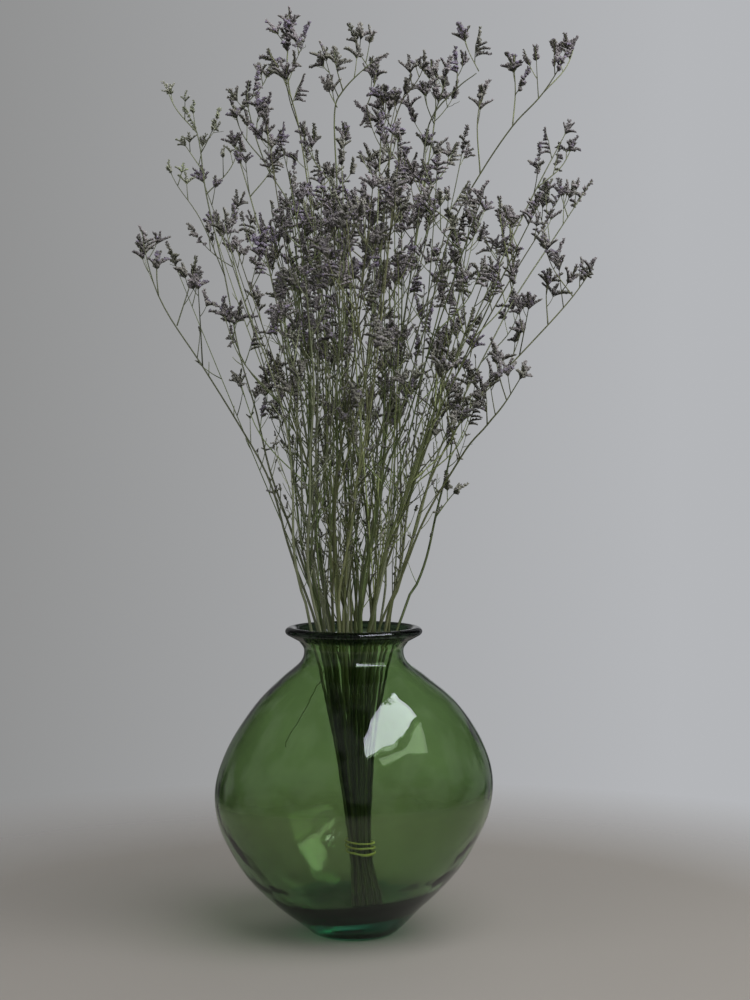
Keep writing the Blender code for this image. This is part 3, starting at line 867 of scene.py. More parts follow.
class Florets:
    """The florets of one stem, gathered spike by spike and made all at once."""

    def __init__(self):
        self.rows = []

    def add_spike(self, rng, points, top, size, violet, shade, packed):
        """Two ranks of florets along the upper side of a spike, smaller towards its tip."""
        pairs = max(round(run_length(points) / (FLORET_STEP * size / packed)), 2)
        for pair in range(pairs):
            part = (pair + 0.5) / pairs
            spot, forward = point_and_heading(points, line(RANK_PLACE, part))
            lift = top - forward * top.dot(forward)
            lift = lift.normalized() if lift.length > 1e-4 else perpendicular(forward)
            across = forward.cross(lift)
            spread = line(RANK_SPREAD, part)
            for sign in (-1, 1):
                heading = forward * rng.uniform(*FLORET_FORWARD) + lift * spread * rng.uniform(*FLORET_LIFT)
                heading = heading + across * sign * rng.uniform(*FLORET_SIDEWAYS)
                grown = size * (1 - TIP_SHRINKAGE * part * part) * rng.uniform(*FLORET_GROWTH)
                is_violet = rng.random() < violet
                is_open = is_violet or rng.random() < OPEN_SHARE
                self.rows.append((
                    tuple(spot), tuple(heading.normalized()),
                    between(FLORET_LENGTH, part) * grown,
                    FLORET_WIDTH * grown * (VIOLET_WIDTH if is_violet else 1.0),
                    rng.uniform(*(OPEN if is_open else SHUT)),
                    self.tone(rng, is_violet, shade),
                ))

    def tone(self, rng, is_violet, shade):
        """Tones above the violet tone are violet; the others are mostly the shade of their spray."""
        if is_violet:
            return line(VIOLET_TONES, rng.random())
        return PLAIN_TONES * (0.6 * shade + 0.4 * rng.random())

    def build(self, shells):
        if self.rows:
            add_florets(shells, *(np.array(column) for column in zip(*self.rows)))


# shoots

class Sway:
    """How a real stalk bows away from its smooth course, only as far as its neighbours leave it room."""

    def __init__(self, rng):
        self.waves = []
        for span in SWAY_SPANS:
            size, length = rng.uniform(0.6, 1.0), rng.uniform(*span)
            self.waves.append((size, length, rng.uniform(0, 2 * math.pi), rng.uniform(0, 2 * math.pi)))

    def shift(self, z):
        room = SWAY_SHARE * (LANE_PITCH * spread(z) - 2 * STALK_RADIUS[1])
        room = min(max(room, 0.0), MOST_SWAY) * (1 - ease(z, *SWAY_ENDS))
        x = y = 0.0
        for weight, (size, length, phase, other) in zip(SWAY_WEIGHTS, self.waves):
            x += weight * size * math.sin(2 * math.pi * z / length + phase)
            y += weight * size * math.sin(2 * math.pi * z / length + other)
        return Vector((x, y, 0.0)) * room

    def bow(self, points):
        """The points moved by the sway, never nearer to the neck's wall than they were."""
        bowed = []
        for point in points:
            moved = point + self.shift(point.z)
            if NECK_ZONE[0] < point.z < NECK_ZONE[1]:
                before, now = math.hypot(point.x, point.y), math.hypot(moved.x, moved.y)
                if now > before:
                    moved.x, moved.y = moved.x * before / now, moved.y * before / now
            bowed.append(moved)
        return bowed


class Dressing:
    """Grows one stem's visible shoots and flowers on the stalk and arms of its solid."""

    def __init__(self, rng, fullness, violet, leading, bare):
        self.rng = rng
        self.bare = bare
        self.fullness = fullness
        self.violet = violet
        self.leading = leading
        self.wood = Shells()
        self.florets = Florets()

    def shoot(self, run, radii):
        add_tube(self.wood, run, tapered(radii, len(run)), SHOOT_SIDES, self.rng.random())

    def spike(self, start, heading, top, size, violet, shade):
        """A flower spike that arches away from its flowering side."""
        rng = self.rng
        length = rng.uniform(*SPIKE_LENGTH) * size * line(SPIKE_GROWTH, self.fullness)
        arriving = (heading - top * rng.uniform(*SPIKE_ARCH)).normalized()
        points = bent_run(start, heading, arriving, length, SPIKE_STEPS)
        add_tube(self.wood, points, tapered(SPIKE_RADIUS, len(points)), SPIKE_SIDES, rng.random())
        packed = line(SPIKE_PACKING, self.fullness)
        grown = size * line(SPIKE_FLORET_SIZE, self.fullness)
        self.florets.add_spike(rng, points, top, grown, violet, shade, packed)

    def spray(self, run, count, size=1.0):
        """A compact fan or comb of spikes at the end of a run, flowering on its upper side."""
        rng = self.rng
        forward = (run[-1] - run[-2]).normalized()
        fan = Vector((rng.gauss(0, 1), rng.gauss(0, 1), rng.gauss(0, 0.4)))
        fan = (fan - forward * fan.dot(forward)).normalized()
        violet = rng.choice((0.0, 0.01, 0.05, self.violet))
        shade = rng.random() ** 1.3
        if count <= 3 or rng.random() < FAN_SHARE:
            self.fan_spray(run, count, size, forward, fan, violet, shade)
        else:
            self.comb_spray(run, count, size, forward, fan, violet, shade)

    def fan_spray(self, run, count, size, forward, fan, violet, shade):
        """Spikes that spread from the tip."""
        rng = self.rng
        opening = rng.uniform(*FAN_OPENING)
        for number in range(count):
            place = (number / (count - 1) - 0.5) if count > 1 else 0.1
            lean = place * opening + rng.uniform(*FAN_UNEVENNESS)
            spot, _ = point_and_heading(run, max(1 - abs(place) * FAN_DEPTH / run_length(run), 0.5))
            out_of_fan = forward.cross(fan) * rng.uniform(*FAN_SIDEWAYS)
            heading = (forward * math.cos(lean) + fan * math.sin(lean) + out_of_fan).normalized()
            self.spike(spot, heading, (forward + fan * 0.01).normalized(), size, violet, shade)

    def comb_spray(self, run, count, size, forward, fan, violet, shade):
        """Spikes that stand side by side on the upper side, from the tip down."""
        rng = self.rng
        back = 0.0
        self.spike(run[-1], (forward + fan * 0.3).normalized(), fan, size, violet, shade)
        for _ in range(count - 1):
            back += rng.uniform(*COMB_GAP) * size
            spot, heading = point_and_heading(run, max(1 - back / run_length(run), 0.2))
            across = heading.cross(fan)
            leaving = heading * rng.uniform(*COMB_FORWARD) + fan + across * rng.uniform(*COMB_SIDEWAYS)
            self.spike(spot, leaving.normalized(), heading, size * rng.uniform(*COMB_SIZE), violet, shade)

    def tendril(self, start, heading):
        """A thin bare shoot that lost its flowers and zigzags from joint to joint."""
        rng = self.rng
        side = perpendicular(heading)
        points, spot, sign = [start], start, 1
        for _ in range(rng.choice(TENDRIL_JOINTS)):
            way = (heading + side * sign * rng.uniform(*TENDRIL_TURN)).normalized()
            way = way * rng.uniform(*TENDRIL_STEP)
            for part in (0.15, 0.85):
                points.append(spot + way * part)
            spot, sign = spot + way, -sign
        add_tube(self.wood, points, tapered(TENDRIL_RADIUS, len(points)), SPIKE_SIDES, rng.random())

    def twig(self, base, forward, turn, length, flowering, branches=True):
        """A side shoot on the run's upper side that bends up to the light and ends in a spray."""
        rng = self.rng
        level = Vector((0.0, 0.0, 1.0)) - forward * forward.z
        first = perpendicular(forward)
        around = first * math.cos(turn) + forward.cross(first) * math.sin(turn)
        outward = (around + level * UPPER_SIDE).normalized()
        leaving = (forward + outward * rng.uniform(*TWIG_OPENING)).normalized()
        arriving = (leaving + Vector((0, 0, rng.uniform(*TWIG_LIFT)))).normalized()
        run = bent_run(base, leaving, arriving, length, TWIG_STEPS)
        self.shoot(run, TWIG_RADIUS)
        if branches and length > FORKED_TWIG:
            for _ in range(1 if length < TWICE_FORKED_TWIG else 2):
                spot, heading = point_and_heading(run, rng.uniform(*FORK_PLACE))
                self.twig(spot, heading, rng.uniform(0, 2 * math.pi), length * rng.uniform(*FORK_LENGTH),
                          flowering, False)
        if rng.random() < TENDRIL_SHARE:
            spot, heading = point_and_heading(run, TENDRIL_PLACE)
            self.tendril(spot, (heading + around).normalized())
        if flowering:
            counts = LEADER_TWIG_SPRAYS if self.leading else TWIG_SPRAYS
            counts = counts if length > SMALL_TWIG else SMALL_SPRAYS
            self.spray(run, rng.choice(counts), rng.uniform(*SPRAY_SIZE))
        elif rng.random() < TINY_SHARE:
            self.spray(run, rng.choice(TINY_SPRAYS), rng.uniform(*TINY_SIZE))

    def flowering_end(self, run, reach, first_step, rising=TWIG_RISE):
        """Twigs from the tip of a run down, wider apart and longer the lower they are."""
        rng = self.rng
        whole = run_length(run)
        turn = rng.uniform(0, 2 * math.pi)
        step, back = first_step, first_step * rng.uniform(0.5, 1.0)
        while back < min(reach, whole * 0.92):
            spot, forward = point_and_heading(run, 1 - back / whole)
            length = min(SHORTEST_TWIG + back * rng.uniform(*rising), LONGEST_TWIG)
            turn += GOLDEN_TURN * rng.uniform(*TURN_VARIES)
            self.twig(spot, forward, turn, length, True)
            back += step * rng.uniform(*STEP_VARIES)
            step *= STEP_GROWS

    def low_twigs(self, run, low, high):
        """Small sparse twigs with tiny flowers on the bare part of a stalk."""
        rng = self.rng
        z = low + rng.uniform(0, LOW_TWIG_START)
        while z < high:
            spot = point_at_height(run, z)
            ahead = point_at_height(run, z + 0.004)
            if (ahead - spot).length > 1e-6:
                self.twig(spot, (ahead - spot).normalized(), rng.uniform(0, 2 * math.pi),
                          rng.uniform(*LOW_TWIG_LENGTH), False, False)
            z += rng.uniform(*LOW_TWIG_STEP)

    def side_shoot(self, stalk, start_height, length):
        """A long thin shoot that rises beside the stalk and flowers at its end."""
        rng = self.rng
        base = point_at_height(stalk, start_height)
        ahead = point_at_height(stalk, start_height + 0.01)
        forward = (ahead - base).normalized()
        turn = rng.uniform(0, 2 * math.pi)
        inward = Vector((centre_x(start_height) - base.x, -base.y, 0.0)) / INWARD_FROM
        around = Vector((math.cos(turn), math.sin(turn), 0.0)) + inward
        around = (around - forward * around.dot(forward)).normalized()
        leaving = (forward + around * rng.uniform(*SHOOT_OPENING)).normalized()
        arriving = (forward + around * rng.uniform(*SHOOT_SPREAD) + LEAN_ON).normalized()
        run = bent_run(base, leaving, arriving, length, SHOOT_STEPS)
        self.shoot(run, SHOOT_RADIUS)
        reach = length * rng.uniform(*SHOOT_REACH)
        self.flowering_end(run, reach * FLOWERING_SHARE, SHOOT_STEP)
        self.low_twigs(run, start_height + 0.03, run[-1].z - reach)
        self.spray(run, rng.choice(TOP_SPRAYS))

    def overreach(self):
        """How far the shoots and spikes reach past the room round the solid stems."""
        corners = np.concatenate([batch.vertices.reshape(-1, 3) for batch in self.wood.batches])
        low, high = np.array(CAD_BOX[0]), np.array(CAD_BOX[1])
        return max((low - GROWING_ROOM - corners).max(), (corners - high - GROWING_ROOM).max())

    def thin_shoot(self, stalk, start_height, length):
        """A hair-thin shoot low on the stalk that wanders upwards and ends in a few tiny flowers."""
        rng = self.rng
        base = point_at_height(stalk, start_height)
        forward = (point_at_height(stalk, start_height + 0.01) - base).normalized()
        around = Vector((rng.gauss(0, 1), rng.gauss(0, 1), 0.0))
        points, way = [base], (forward + around * rng.uniform(*THIN_SHOOT_OPENING)).normalized()
        for _ in range(THIN_SHOOT_STEPS):
            aside = rng.gauss(0, THIN_SHOOT_WANDER), rng.gauss(0, THIN_SHOOT_WANDER)
            way = (way + Vector((*aside, THIN_SHOOT_LIFT))).normalized()
            points.append(points[-1] + way * length / THIN_SHOOT_STEPS)
        self.shoot(points, THIN_SHOOT_RADIUS)
        self.spray(points, rng.choice(THIN_SHOOT_SPRAYS), rng.uniform(*THIN_SHOOT_SIZE))
        self.low_twigs(points, max(start_height + 0.02, FIRST_TWIG), points[-1].z - 0.02)

    def stalk_radii(self, stalk, radius):
        """The stalk's radius at each point: it thins on its way up, and more at its very end."""
        radii = []
        for place, point in enumerate(stalk):
            thick = between((radius, THIN_TOP_RADIUS), ease(point.z, *STALK_THINS))
            near_tip = ease(place, len(stalk) - TAPERED_END, len(stalk) - 1)
            radii.append(thick * (1 - TIP_THINNING * near_tip))
        return radii

    def clothe(self, stalk, full):
        """What grows on a stem of the crown's body; gives back how far down its end flowers."""
        rng = self.rng
        top = stalk[-1].z
        reach = rng.uniform(*STALK_REACH) * (top - MOUTH)
        self.flowering_end(stalk, reach * FLOWERING_SHARE, STALK_STEP)
        outward = min(math.hypot(stalk[-1].x - centre_x(top), stalk[-1].y) / OUTER_TIP, 1.0)
        highest = between(SHOOT_TOP, outward ** 2)
        for _ in range(rng.choice(SHOOT_COUNTS)):
            start = rng.uniform(*SHOOT_START)
            length = min((top - start) * highest, SHOOT_CEILING - start) * rng.uniform(0.80, 1.0)
            self.side_shoot(full, start, length)
        for _ in range(THIN_SHOOTS):
            self.thin_shoot(full, rng.uniform(*THIN_SHOOT_START), rng.uniform(*THIN_SHOOT_LENGTH))
        return reach

    def arm(self, points, shift):
        """An arm of the solid; one that leaves below the mouth is a withered shoot without flowers."""
        rng = self.rng
        withered = points[0].z < MOUTH
        run = shortened(smooth_curve([point + shift for point in points], CURVE_STEPS), SPRAY_REACH * 0.9)
        if withered:
            wander = [(rng.uniform(-0.0015, 0.0015), rng.uniform(-0.0016, 0.0016)) for _ in run]
            run = [point + Vector((x, y, 0.0)) for point, (y, x) in zip(run, wander)]
        self.shoot(run, (ARM_RADIUS, TWIG_RADIUS[0] * 0.8))
        if not withered:
            self.flowering_end(run, 0.030 if self.leading else 0.6 * run_length(run), ARM_STEP)
            self.spray(run, rng.choice((3, 4) if self.leading else TOP_SPRAYS))

    def dress(self, radius, axis, arms):
        """The stalk, its arms and everything that grows on them."""
        rng = self.rng
        sway = Sway(rng)
        full = sway.bow(smooth_curve(axis, CURVE_STEPS))
        stalk = shortened(full, SPRAY_REACH)
        radii = self.stalk_radii(stalk, radius)
        add_tube(self.wood, stalk, radii, STALK_SIDES, rng.random(), RIDGE, own_column=True)
        if self.leading:
            reach = 0.0 if self.bare else rng.uniform(*LEADER_REACH)
            self.flowering_end(stalk, reach, LEADER_STEP, rising=LEADER_TWIG_RISE)
        else:
            reach = self.clothe(stalk, full)
        self.low_twigs(stalk, FIRST_TWIG, min(stalk[-1].z - reach, LAST_LOW_TWIG))
        if not self.bare:
            self.spray(stalk, rng.choice(TOP_SPRAYS))
        for points in arms:
            self.arm(points, sway.shift(points[0].z))


# nodes: an input is given a number, a colour or another node's output

def set_inputs(tree, node, inputs):
    for name, source in inputs.items():
        target = node.inputs[name]
        if isinstance(source, bpy.types.NodeSocket):
            tree.links.new(source, target)
        else:
            target.default_value = (*source, 1.0) if isinstance(source, tuple) else source


def add_node(tree, kind, inputs, out=0, **settings):
    """Adds a shader node, with its inputs by name or number, and gives back one of its outputs."""
    node = tree.nodes.new("ShaderNode" + kind)
    for name, value in settings.items():
        setattr(node, name, value)
    set_inputs(tree, node, inputs)
    return node.outputs[out]


def mix_colour(tree, share, first, second, blend="MIX"):
    inputs = {"Factor": share, 6: first, 7: second}
    return add_node(tree, "Mix", inputs, 2, data_type="RGBA", blend_type=blend)


def mix_value(tree, share, first, second):
    return add_node(tree, "Mix", {"Factor": share, "A": first, "B": second})


def mix_shader(tree, share, first, second):
    return add_node(tree, "MixShader", {"Fac": share, 1: first, 2: second})


def map_range(tree, value, low, high, to_low=0.0, to_high=1.0):
    limits = {"From Min": low, "From Max": high, "To Min": to_low, "To Max": to_high}
    return add_node(tree, "MapRange", {"Value": value, **limits})


def product(tree, first, second):
    return add_node(tree, "Math", {0: first, 1: second}, operation="MULTIPLY")


def shaded_by(tree, colour, brightness):
    """The colour made lighter or darker by a value that changes over the surface."""
    grey = add_node(tree, "CombineColor", {"Red": brightness, "Green": brightness, "Blue": brightness})
    return mix_colour(tree, 1.0, colour, grey, "MULTIPLY")


def attribute(tree, name):
    return add_node(tree, "Attribute", {}, "Fac", attribute_name=name)


def place(tree, space="Object"):
    return add_node(tree, "TexCoord", {}, space)


def place_along(tree, axis, space="Object"):
    """One coordinate of a place: X to the right, Y to the back, Z upwards."""
    return add_node(tree, "SeparateXYZ", {"Vector": place(tree, space)}, axis)


def clouds(tree, scale, detail, space="Object"):
    return add_node(tree, "TexNoise", {"Vector": place(tree, space), "Scale": scale, "Detail": detail})


def bump(tree, height, depth):
    return add_node(tree, "Bump", {"Height": height, "Distance": depth})


# materials

def new_material(name):
    """A material with its node tree and its Principled shader."""
    material = bpy.data.materials.new(name)
    material.use_nodes = True
    tree = material.node_tree
    return material, tree, tree.nodes["Principled BSDF"]


def mottling_group():
    """Blotches and long fibres: a mask for colour and a height for bump, in the piece's own space."""
    tree = bpy.data.node_groups.new("mottling", "ShaderNodeTree")
    for name in ("Blotch Scale", "Fibre Scale", "Fibre Stretch"):
        tree.interface.new_socket(name=name, in_out="INPUT", socket_type="NodeSocketFloat")
    for name in ("Mask", "Height"):
        tree.interface.new_socket(name=name, in_out="OUTPUT", socket_type="NodeSocketFloat")
    enter, leave = tree.nodes.new("NodeGroupInput"), tree.nodes.new("NodeGroupOutput")
    blotch = clouds(tree, enter.outputs["Blotch Scale"], 3.0)
    stretch = add_node(tree, "CombineXYZ", {"X": 1.0, "Y": 1.0, "Z": enter.outputs["Fibre Stretch"]})
    drawn_out = add_node(tree, "VectorMath", {0: place(tree), 1: stretch}, operation="MULTIPLY")
    fibre_scale = enter.outputs["Fibre Scale"]
    fibre = add_node(tree, "TexNoise", {"Vector": drawn_out, "Scale": fibre_scale, "Detail": 2.0})
    mask = map_range(tree, mix_value(tree, 0.4, blotch, fibre), 0.35, 0.65)
    set_inputs(tree, leave, {"Mask": mask, "Height": fibre})
    return tree


def place_mottling(tree, group, blotch_scale, fibre_scale, fibre_stretch):
    node = tree.nodes.new("ShaderNodeGroup")
    node.node_tree = group
    set_inputs(tree, node, {
        "Blotch Scale": blotch_scale, "Fibre Scale": fibre_scale, "Fibre Stretch": fibre_stretch,
    })
    return node.outputs["Mask"], node.outputs["Height"]


def stalk_material(name, low, high, patch, mottling):
    """A dried ribbed stalk: its lower colour passes into the upper one, with patches and fibres; painted
    shade darkens the part that stands inside the vase.
    """
    material, tree, shader = new_material(name)
    mask, fibres = place_mottling(tree, mottling, 70.0, 900.0, 0.05)
    height = place_along(tree, "Z")
    colour = mix_colour(tree, map_range(tree, height, *STALK_FADES), low, high)
    colour = mix_colour(tree, mask, colour, patch)
    colour = shaded_by(tree, colour, map_range(tree, attribute(tree, "tone"), 0.0, 1.0, *STALK_TONES))
    # painted shade: the stalk is darker inside the vase, and this fades out up the neck
    colour = shaded_by(tree, colour, map_range(tree, height, *PAINTED_SHADE_IN_VASE_HEIGHTS, PAINTED_SHADE_IN_VASE, 1.0))
    set_inputs(tree, shader, {
        "Base Color": colour,
        "Roughness": map_range(tree, mask, 0.0, 1.0, 0.52, 0.82),
        "Specular IOR Level": 0.35,
        "Normal": bump(tree, fibres, 0.00025),
    })
    return material


def floret_material(name, core, body, lip, violet, mottling):
    """Papery florets: dark cores, paler bodies and bleached lips, olive in places, a few still violet."""
    material, tree, shader = new_material(name)
    mask, fibres = place_mottling(tree, mottling, 160.0, 1600.0, 0.5)
    patches, _ = place_mottling(tree, mottling, 24.0, 60.0, 1.0)
    along, tone = attribute(tree, "along"), attribute(tree, "tone")
    body_colour = mix_colour(tree, map_range(tree, along, 0.05, 0.55), core, body)
    end_colour = mix_colour(tree, map_range(tree, tone, 0.495, 0.505), lip, violet)
    colour = mix_colour(tree, map_range(tree, along, 0.50, 0.95), body_colour, end_colour)
    colour = mix_colour(tree, map_range(tree, mask, 0.2, 1.4), colour, core)
    colour = shaded_by(tree, colour, map_range(tree, tone, 0.0, VIOLET_TONE, *FLORET_TONES))
    low_down = map_range(tree, place_along(tree, "Z"), *OLIVE_HEIGHTS)
    olive = mix_value(tree, low_down, map_range(tree, patches, 0.40, 0.95, 0.0, 0.9), 1.0)
    colour = mix_colour(tree, olive, colour, OLIVE_DUST, "MULTIPLY")
    set_inputs(tree, shader, {
        "Base Color": colour,
        "Roughness": map_range(tree, mask, 0.0, 1.0, 0.62, 0.92),
        "Specular IOR Level": 0.25,
        "Sheen Weight": 0.15,
        "Sheen Roughness": 0.5,
        "Normal": bump(tree, fibres, 0.00015),
    })
    return material


def painted_shade_ring(tree):
    """A mask for the slanted ring of painted shade low on the outer side, standing for the shadowed floor
    that the thick base shows.
    """
    slope = product(tree, place_along(tree, "X"), -PAINTED_SHADE_RING_SLOPE)
    level = add_node(tree, "Math", {0: slope, 1: place_along(tree, "Z")}, operation="ADD")
    first, full, fading, last = PAINTED_SHADE_RING
    both = product(tree, map_range(tree, level, first, full), map_range(tree, level, last, fading))
    return product(tree, both, attribute(tree, "outer_side"))


def glass_material():
    """Thick green blown glass, tinted through its depth, with faint ripples and drawn streaks, and a ring of
    painted shade low on its outer side.
    """
    material, tree, shader = new_material("green_blown_glass")
    cloud = clouds(tree, 14.0, 2.0)
    darker = tuple(value * 0.88 for value in GLASS_TINT)
    tint = mix_colour(tree, map_range(tree, cloud, 0.35, 0.65), darker, GLASS_TINT)
    height = place_along(tree, "Z")
    tint = mix_colour(tree, map_range(tree, height, *FOOT_ENDS), tint, FOOT_TINT)
    tint = mix_colour(tree, map_range(tree, height, *RIM_STARTS), tint, RIM_TINT)
    inside = add_node(tree, "NewGeometry", {}, "Backfacing")
    # painted shade: the ring low on the outer side turns near black, while faces seen from inside keep their
    # tint
    tint = mix_colour(tree, mix_value(tree, inside, painted_shade_ring(tree), 0.0), tint, PAINTED_SHADE_RING_TINT)
    set_inputs(tree, shader, {
        "Base Color": tint,
        "Roughness": map_range(tree, cloud, 0.3, 0.7, 0.012, 0.035),
        "Transmission Weight": 1.0,
        "IOR": 1.5,
        "Normal": bump(tree, clouds(tree, 26.0, 1.5), 0.0011),
    })
    clear = add_node(tree, "BsdfTransparent", {"Color": CLEAR_IN_SHADE})
    in_shade = add_node(tree, "LightPath", {}, "Is Shadow Ray")
    set_inputs(tree, tree.nodes["Material Output"], {
        "Surface": mix_shader(tree, in_shade, shader.outputs["BSDF"], clear),
        "Volume": add_node(tree, "VolumeAbsorption", {"Color": GLASS_DEPTH_COLOUR, "Density": GLASS_DENSITY}),
    })
    return material


def rubber_material():
    """Old yellow rubber: dull, a little dusty, paler where it was stretched."""
    material, tree, shader = new_material("old_yellow_rubber")
    dust = clouds(tree, 260.0, 3.0)
    dusty = map_range(tree, dust, 0.35, 0.70)
    set_inputs(tree, shader, {
        "Base Color": mix_colour(tree, dusty, (0.62, 0.50, 0.10), (0.74, 0.66, 0.28)),
        "Roughness": map_range(tree, dust, 0.3, 0.7, 0.42, 0.68),
        "Normal": bump(tree, dust, 0.00008),
    })
    return material


# pieces

def link_object(name, data):
    made = bpy.data.objects.new(name, data)
    bpy.context.scene.collection.objects.link(made)
    return made


def add_piece(name, mesh, material, node=None):
    """A piece with its material that rides on the one body, in place of a CAD node if one is given."""
    mesh.materials.append(material)
    piece = link_object(name, mesh)
    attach(piece, "root")
    if node is not None:
        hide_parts(node)


def smooth_mesh(name, points, faces):
    mesh = bpy.data.meshes.new(name)
    mesh.from_pydata(points, [], faces)
    mesh.update()
    mesh.shade_smooth()
    return mesh


def make_vase(material):
    """The section turned round the upright axis, slanted and rippled as blown glass is."""
    profile = vase_profile()
    half = len(profile) / 2
    rings = len(profile) - 2
    points, faces = [], []
    for turn in range(VASE_STEPS):
        angle = 2 * math.pi * turn / VASE_STEPS
        for number, (radius, height) in enumerate(profile[1:-1]):
            calm = ease(height, *WAVES_START) * (1 - ease(height, *WAVES_END))
            around = Vector((math.cos(angle), math.sin(angle), height * 9.0))
            side = 3.0 if number < half else 0.0
            radius += BLOWN_WAVE * calm * noise.noise(around * 1.3 + Vector((side, 0, 0)))
            x, y = radius * math.cos(angle), radius * math.sin(angle)
            points.append((x, y, height + slant_lift(x, height)))
    middle_in, middle_out = len(points), len(points) + 1
    points += [(0.0, 0.0, profile[0].y), (0.0, 0.0, profile[-1].y)]
    for turn in range(VASE_STEPS):
        here, after = turn * rings, (turn + 1) % VASE_STEPS * rings
        faces += [(middle_in, here, after), (middle_out, after + rings - 1, here + rings - 1)]
        for ring in range(rings - 1):
            faces.append((here + ring, here + ring + 1, after + ring + 1, after + ring))
    mesh = smooth_mesh("vase_look", points, faces)
    mesh.set_sharp_from_angle(angle=math.radians(50))
    # outer_side marks the outer skin, which carries the ring of painted shade
    outer = [0.0 if number < half else 1.0 for number in range(rings)] * VASE_STEPS + [0.0, 1.0]
    mesh.attributes.new("outer_side", "FLOAT", "POINT").data.foreach_set("value", outer)
    add_piece("vase_look", mesh, material, "vase")


def band_course():
    """The band's middle line as (angle, height, lift): three turns down, then one crossing back up."""
    turns = 2 * math.pi * BAND_TURNS - BAND_CROSSING
    count = BAND_STEPS * BAND_TURNS
    course = [(turns * step / count, BAND_TOP + (BAND_LOW - BAND_TOP) * step / count, 0.0)
              for step in range(count + 1)]
    for step in range(1, CROSSING_STEPS):
        part = step / CROSSING_STEPS
        z = BAND_LOW + (BAND_TOP - BAND_LOW) * ease(part, 0.0, 1.0)
        course.append((turns + BAND_CROSSING * part, z, math.sin(math.pi * part) * BAND_LIFT))
    return course


def make_band(material):
    """One flat rubber loop wound three times down the bunch, that crosses back up over its own turns."""
    points, faces = [], []
    course = band_course()
    for angle, z, lift in course:
        outward = Vector((math.cos(BAND_START + angle), math.sin(BAND_START + angle), 0.0))
        centre = Vector((centre_x(z), 0.0, z)) + outward * (band_radius(z) + lift)
        for corner in range(BAND_SIDES):
            turn = 2 * math.pi * corner / BAND_SIDES
            cos, sin = math.cos(turn), math.sin(turn)
            square = (abs(cos) ** 4 + abs(sin) ** 4) ** -0.25
            points.append(centre + outward * cos * square * BAND_THICK / 2
                          + Vector((0, 0, 1)) * sin * square * BAND_WIDE / 2)
    for ring in range(len(course)):
        here, after = ring * BAND_SIDES, (ring + 1) % len(course) * BAND_SIDES
        for corner in range(BAND_SIDES):
            beside = (corner + 1) % BAND_SIDES
            faces.append((here + corner, after + corner, after + beside, here + beside))
    add_piece("rubber_band_look", smooth_mesh("rubber_band_look", points, faces), material,
              "rubber_band")


def grow_stem(number, radius, axis, arms):
    """One dressed stem, grown again with other draws until it stays within the room round the solids."""
    leading = number < len(LEADERS)
    for attempt in range(GROWING_TRIES):
        rng = random.Random(DRESSING_SEED + number + 100 * attempt)
        fullness = SPARSE_FULLNESS
        if number not in SPARSE_STEMS:
            fullness = rng.uniform(*(LEADER_FULLNESS if leading else BODY_FULLNESS))
        dressing = Dressing(rng, fullness, rng.choice(VIOLET_SHARES), leading, number in BARE_STEMS)
        dressing.dress(radius, axis, arms)
        if dressing.overreach() < 0:
            break
    return rng, dressing


def make_bunch():
    """Every stem as a stalk and its flowers; sparse stems have the last, grey-green colours."""
    mottling = mottling_group()
    stalks = [stalk_material(*colours, mottling) for colours in STALK_COLOURS]
    dusky, grey_green = [floret_material(*colours, mottling) for colours in FLORET_COLOURS]
    for number, stem in enumerate(grow_bunch()):
        name = f"stem_{number + 1:02d}"
        sparse = number in SPARSE_STEMS
        rng, dressing = grow_stem(number, *stem)
        stalk = stalks[-1] if sparse else rng.choice(stalks)
        add_piece(name + "_stalk", dressing.wood.mesh(name + "_stalk"), stalk, name)
        flowers = Shells()
        dressing.florets.build(flowers)
        florets = grey_green if sparse else dusky
        add_piece(name + "_flowers", flowers.mesh(name + "_flowers"), florets)


# studio

def make_floor():
    """A round pale table that fades into the surround."""
    mesh = bpy.data.meshes.new("floor")
    work = bmesh.new()
    bmesh.ops.create_circle(work, cap_ends=True, segments=96, radius=FLOOR_FADE[1])
    work.to_mesh(mesh)
    work.free()
    material, tree, shader = new_material("pale_table")
    set_inputs(tree, shader, {"Base Color": FLOOR_COLOUR, "Roughness": 0.95, "Specular IOR Level": 0.0})
    distance = add_node(tree, "VectorMath", {0: place(tree)}, "Value", operation="LENGTH")
    clear = add_node(tree, "BsdfTransparent", {})
    faded = mix_shader(tree, map_range(tree, distance, *FLOOR_FADE), shader.outputs["BSDF"], clear)
    set_inputs(tree, tree.nodes["Material Output"], {"Surface": faded})
    mesh.materials.append(material)
    floor = link_object("floor", mesh)
    floor.location.z = -0.0006


def studio_direction(azimuth, elevation):
    """A direction from the object, in degrees: azimuth from the front towards the right."""
    azimuth, elevation = math.radians(azimuth), math.radians(elevation)
    flat = math.cos(elevation)
    return Vector((math.sin(azimuth) * flat, -math.cos(azimuth) * flat, math.sin(elevation)))


def add_lamp(name, azimuth, elevation, distance, size, watts):
    """A soft square lamp that neither reflections nor the glass show."""
    data = bpy.data.lights.new(name, "AREA")
    data.shape = "SQUARE"
    data.size = size
    data.energy = watts
    lamp = link_object(name, data)
    lamp.location = LAMP_AIM + studio_direction(azimuth, elevation) * distance
    lamp.rotation_euler = (LAMP_AIM - lamp.location).to_track_quat("-Z", "Y").to_euler()
    lamp.visible_glossy = False
    lamp.visible_transmission = False


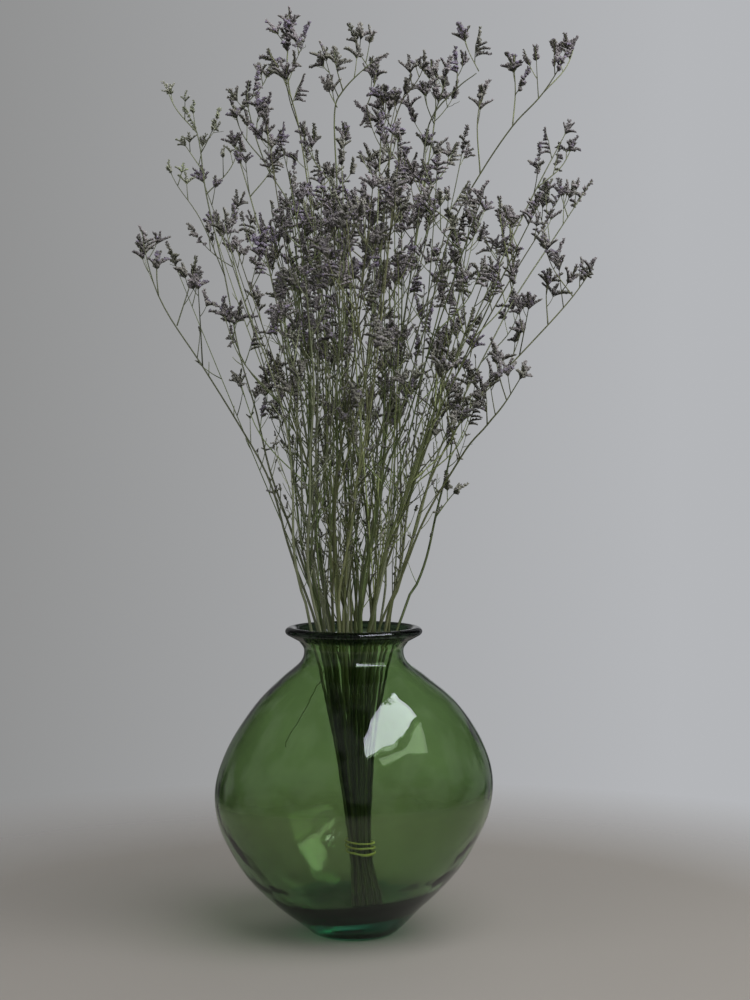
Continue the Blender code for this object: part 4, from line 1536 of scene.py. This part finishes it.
def add_window(name, outline, strength, colour):
    """A bright pane that only reflections and the glass see, with its outline as (azimuth, elevation)."""
    corners = [studio_direction(*corner) for corner in outline]
    ways = [a.slerp(b, step / 6) for a, b in zip(corners, corners[1:] + corners[:1]) for step in range(6)]
    middle = sum(corners, Vector()).normalized()
    count = len(ways)
    mesh = bpy.data.meshes.new(name)
    mesh.from_pydata([WINDOW_AIM + way * WINDOW_DISTANCE for way in [middle] + ways], [],
                     [(0, 1 + number, 1 + (number + 1) % count) for number in range(count)])
    material, tree, shader = new_material(name)
    tree.nodes.remove(shader)
    glow = add_node(tree, "Emission", {"Color": colour, "Strength": strength})
    set_inputs(tree, tree.nodes["Material Output"], {"Surface": glow})
    mesh.materials.append(material)
    pane = link_object(name, mesh)
    pane.visible_camera = False
    pane.visible_diffuse = False
    pane.visible_shadow = False


def make_world():
    """A plain pale surround, darker on the left; mirrored, it is a dim room with soft shapes."""
    world = bpy.data.worlds.new("studio")
    world.use_nodes = True
    tree = world.node_tree
    to_right, to_back = place_along(tree, "X", "Generated"), place_along(tree, "Y", "Generated")
    ahead = mix_colour(tree, map_range(tree, to_right, *BACKDROP_BLEND), BACKDROP_LEFT, BACKDROP_RIGHT)
    pale = mix_colour(tree, map_range(tree, to_back, *AHEAD), BACKDROP_ROUND, ahead)
    room = map_range(tree, clouds(tree, 2.6, 3.0, "Generated"), 0.44, 0.56, *ROOM_LIGHT)
    mirrored = mix_value(tree, map_range(tree, to_back, *STRAIGHT_AHEAD), room, 1.0)
    strength = mix_value(tree, add_node(tree, "LightPath", {}, "Is Glossy Ray"), 1.0, mirrored)
    strength = mix_value(tree, add_node(tree, "LightPath", {}, "Is Diffuse Ray"), strength, AMBIENT)
    set_inputs(tree, tree.nodes["Background"], {"Color": pale, "Strength": strength})
    bpy.context.scene.world = world


def make_studio():
    scene = bpy.context.scene
    scene.view_settings.view_transform = "Standard"
    make_world()
    make_floor()
    add_lamp("key", azimuth=42, elevation=48, distance=1.7, size=2.0, watts=43.0)
    add_lamp("fill", azimuth=-55, elevation=20, distance=2.0, size=1.2, watts=7.0)
    add_lamp("back", azimuth=160, elevation=35, distance=2.0, size=1.5, watts=8.0)
    add_window("window_sky", WINDOW_SKY, 8.0, (0.84, 0.85, 1.0))
    add_window("window_garden", WINDOW_GARDEN, 2.3, (0.80, 1.0, 0.72))
    camera = link_object("camera", bpy.data.cameras.new("camera"))
    camera.data.lens = LENS
    camera.location = (EYE_SIDE, -EYE_DISTANCE, EYE_HEIGHT)
    camera.rotation_euler = (math.pi / 2 - LOOK_DOWN, 0.0, 0.0)
    scene.camera = camera


make_vase(glass_material())
make_band(rubber_material())
make_bunch()
make_studio()
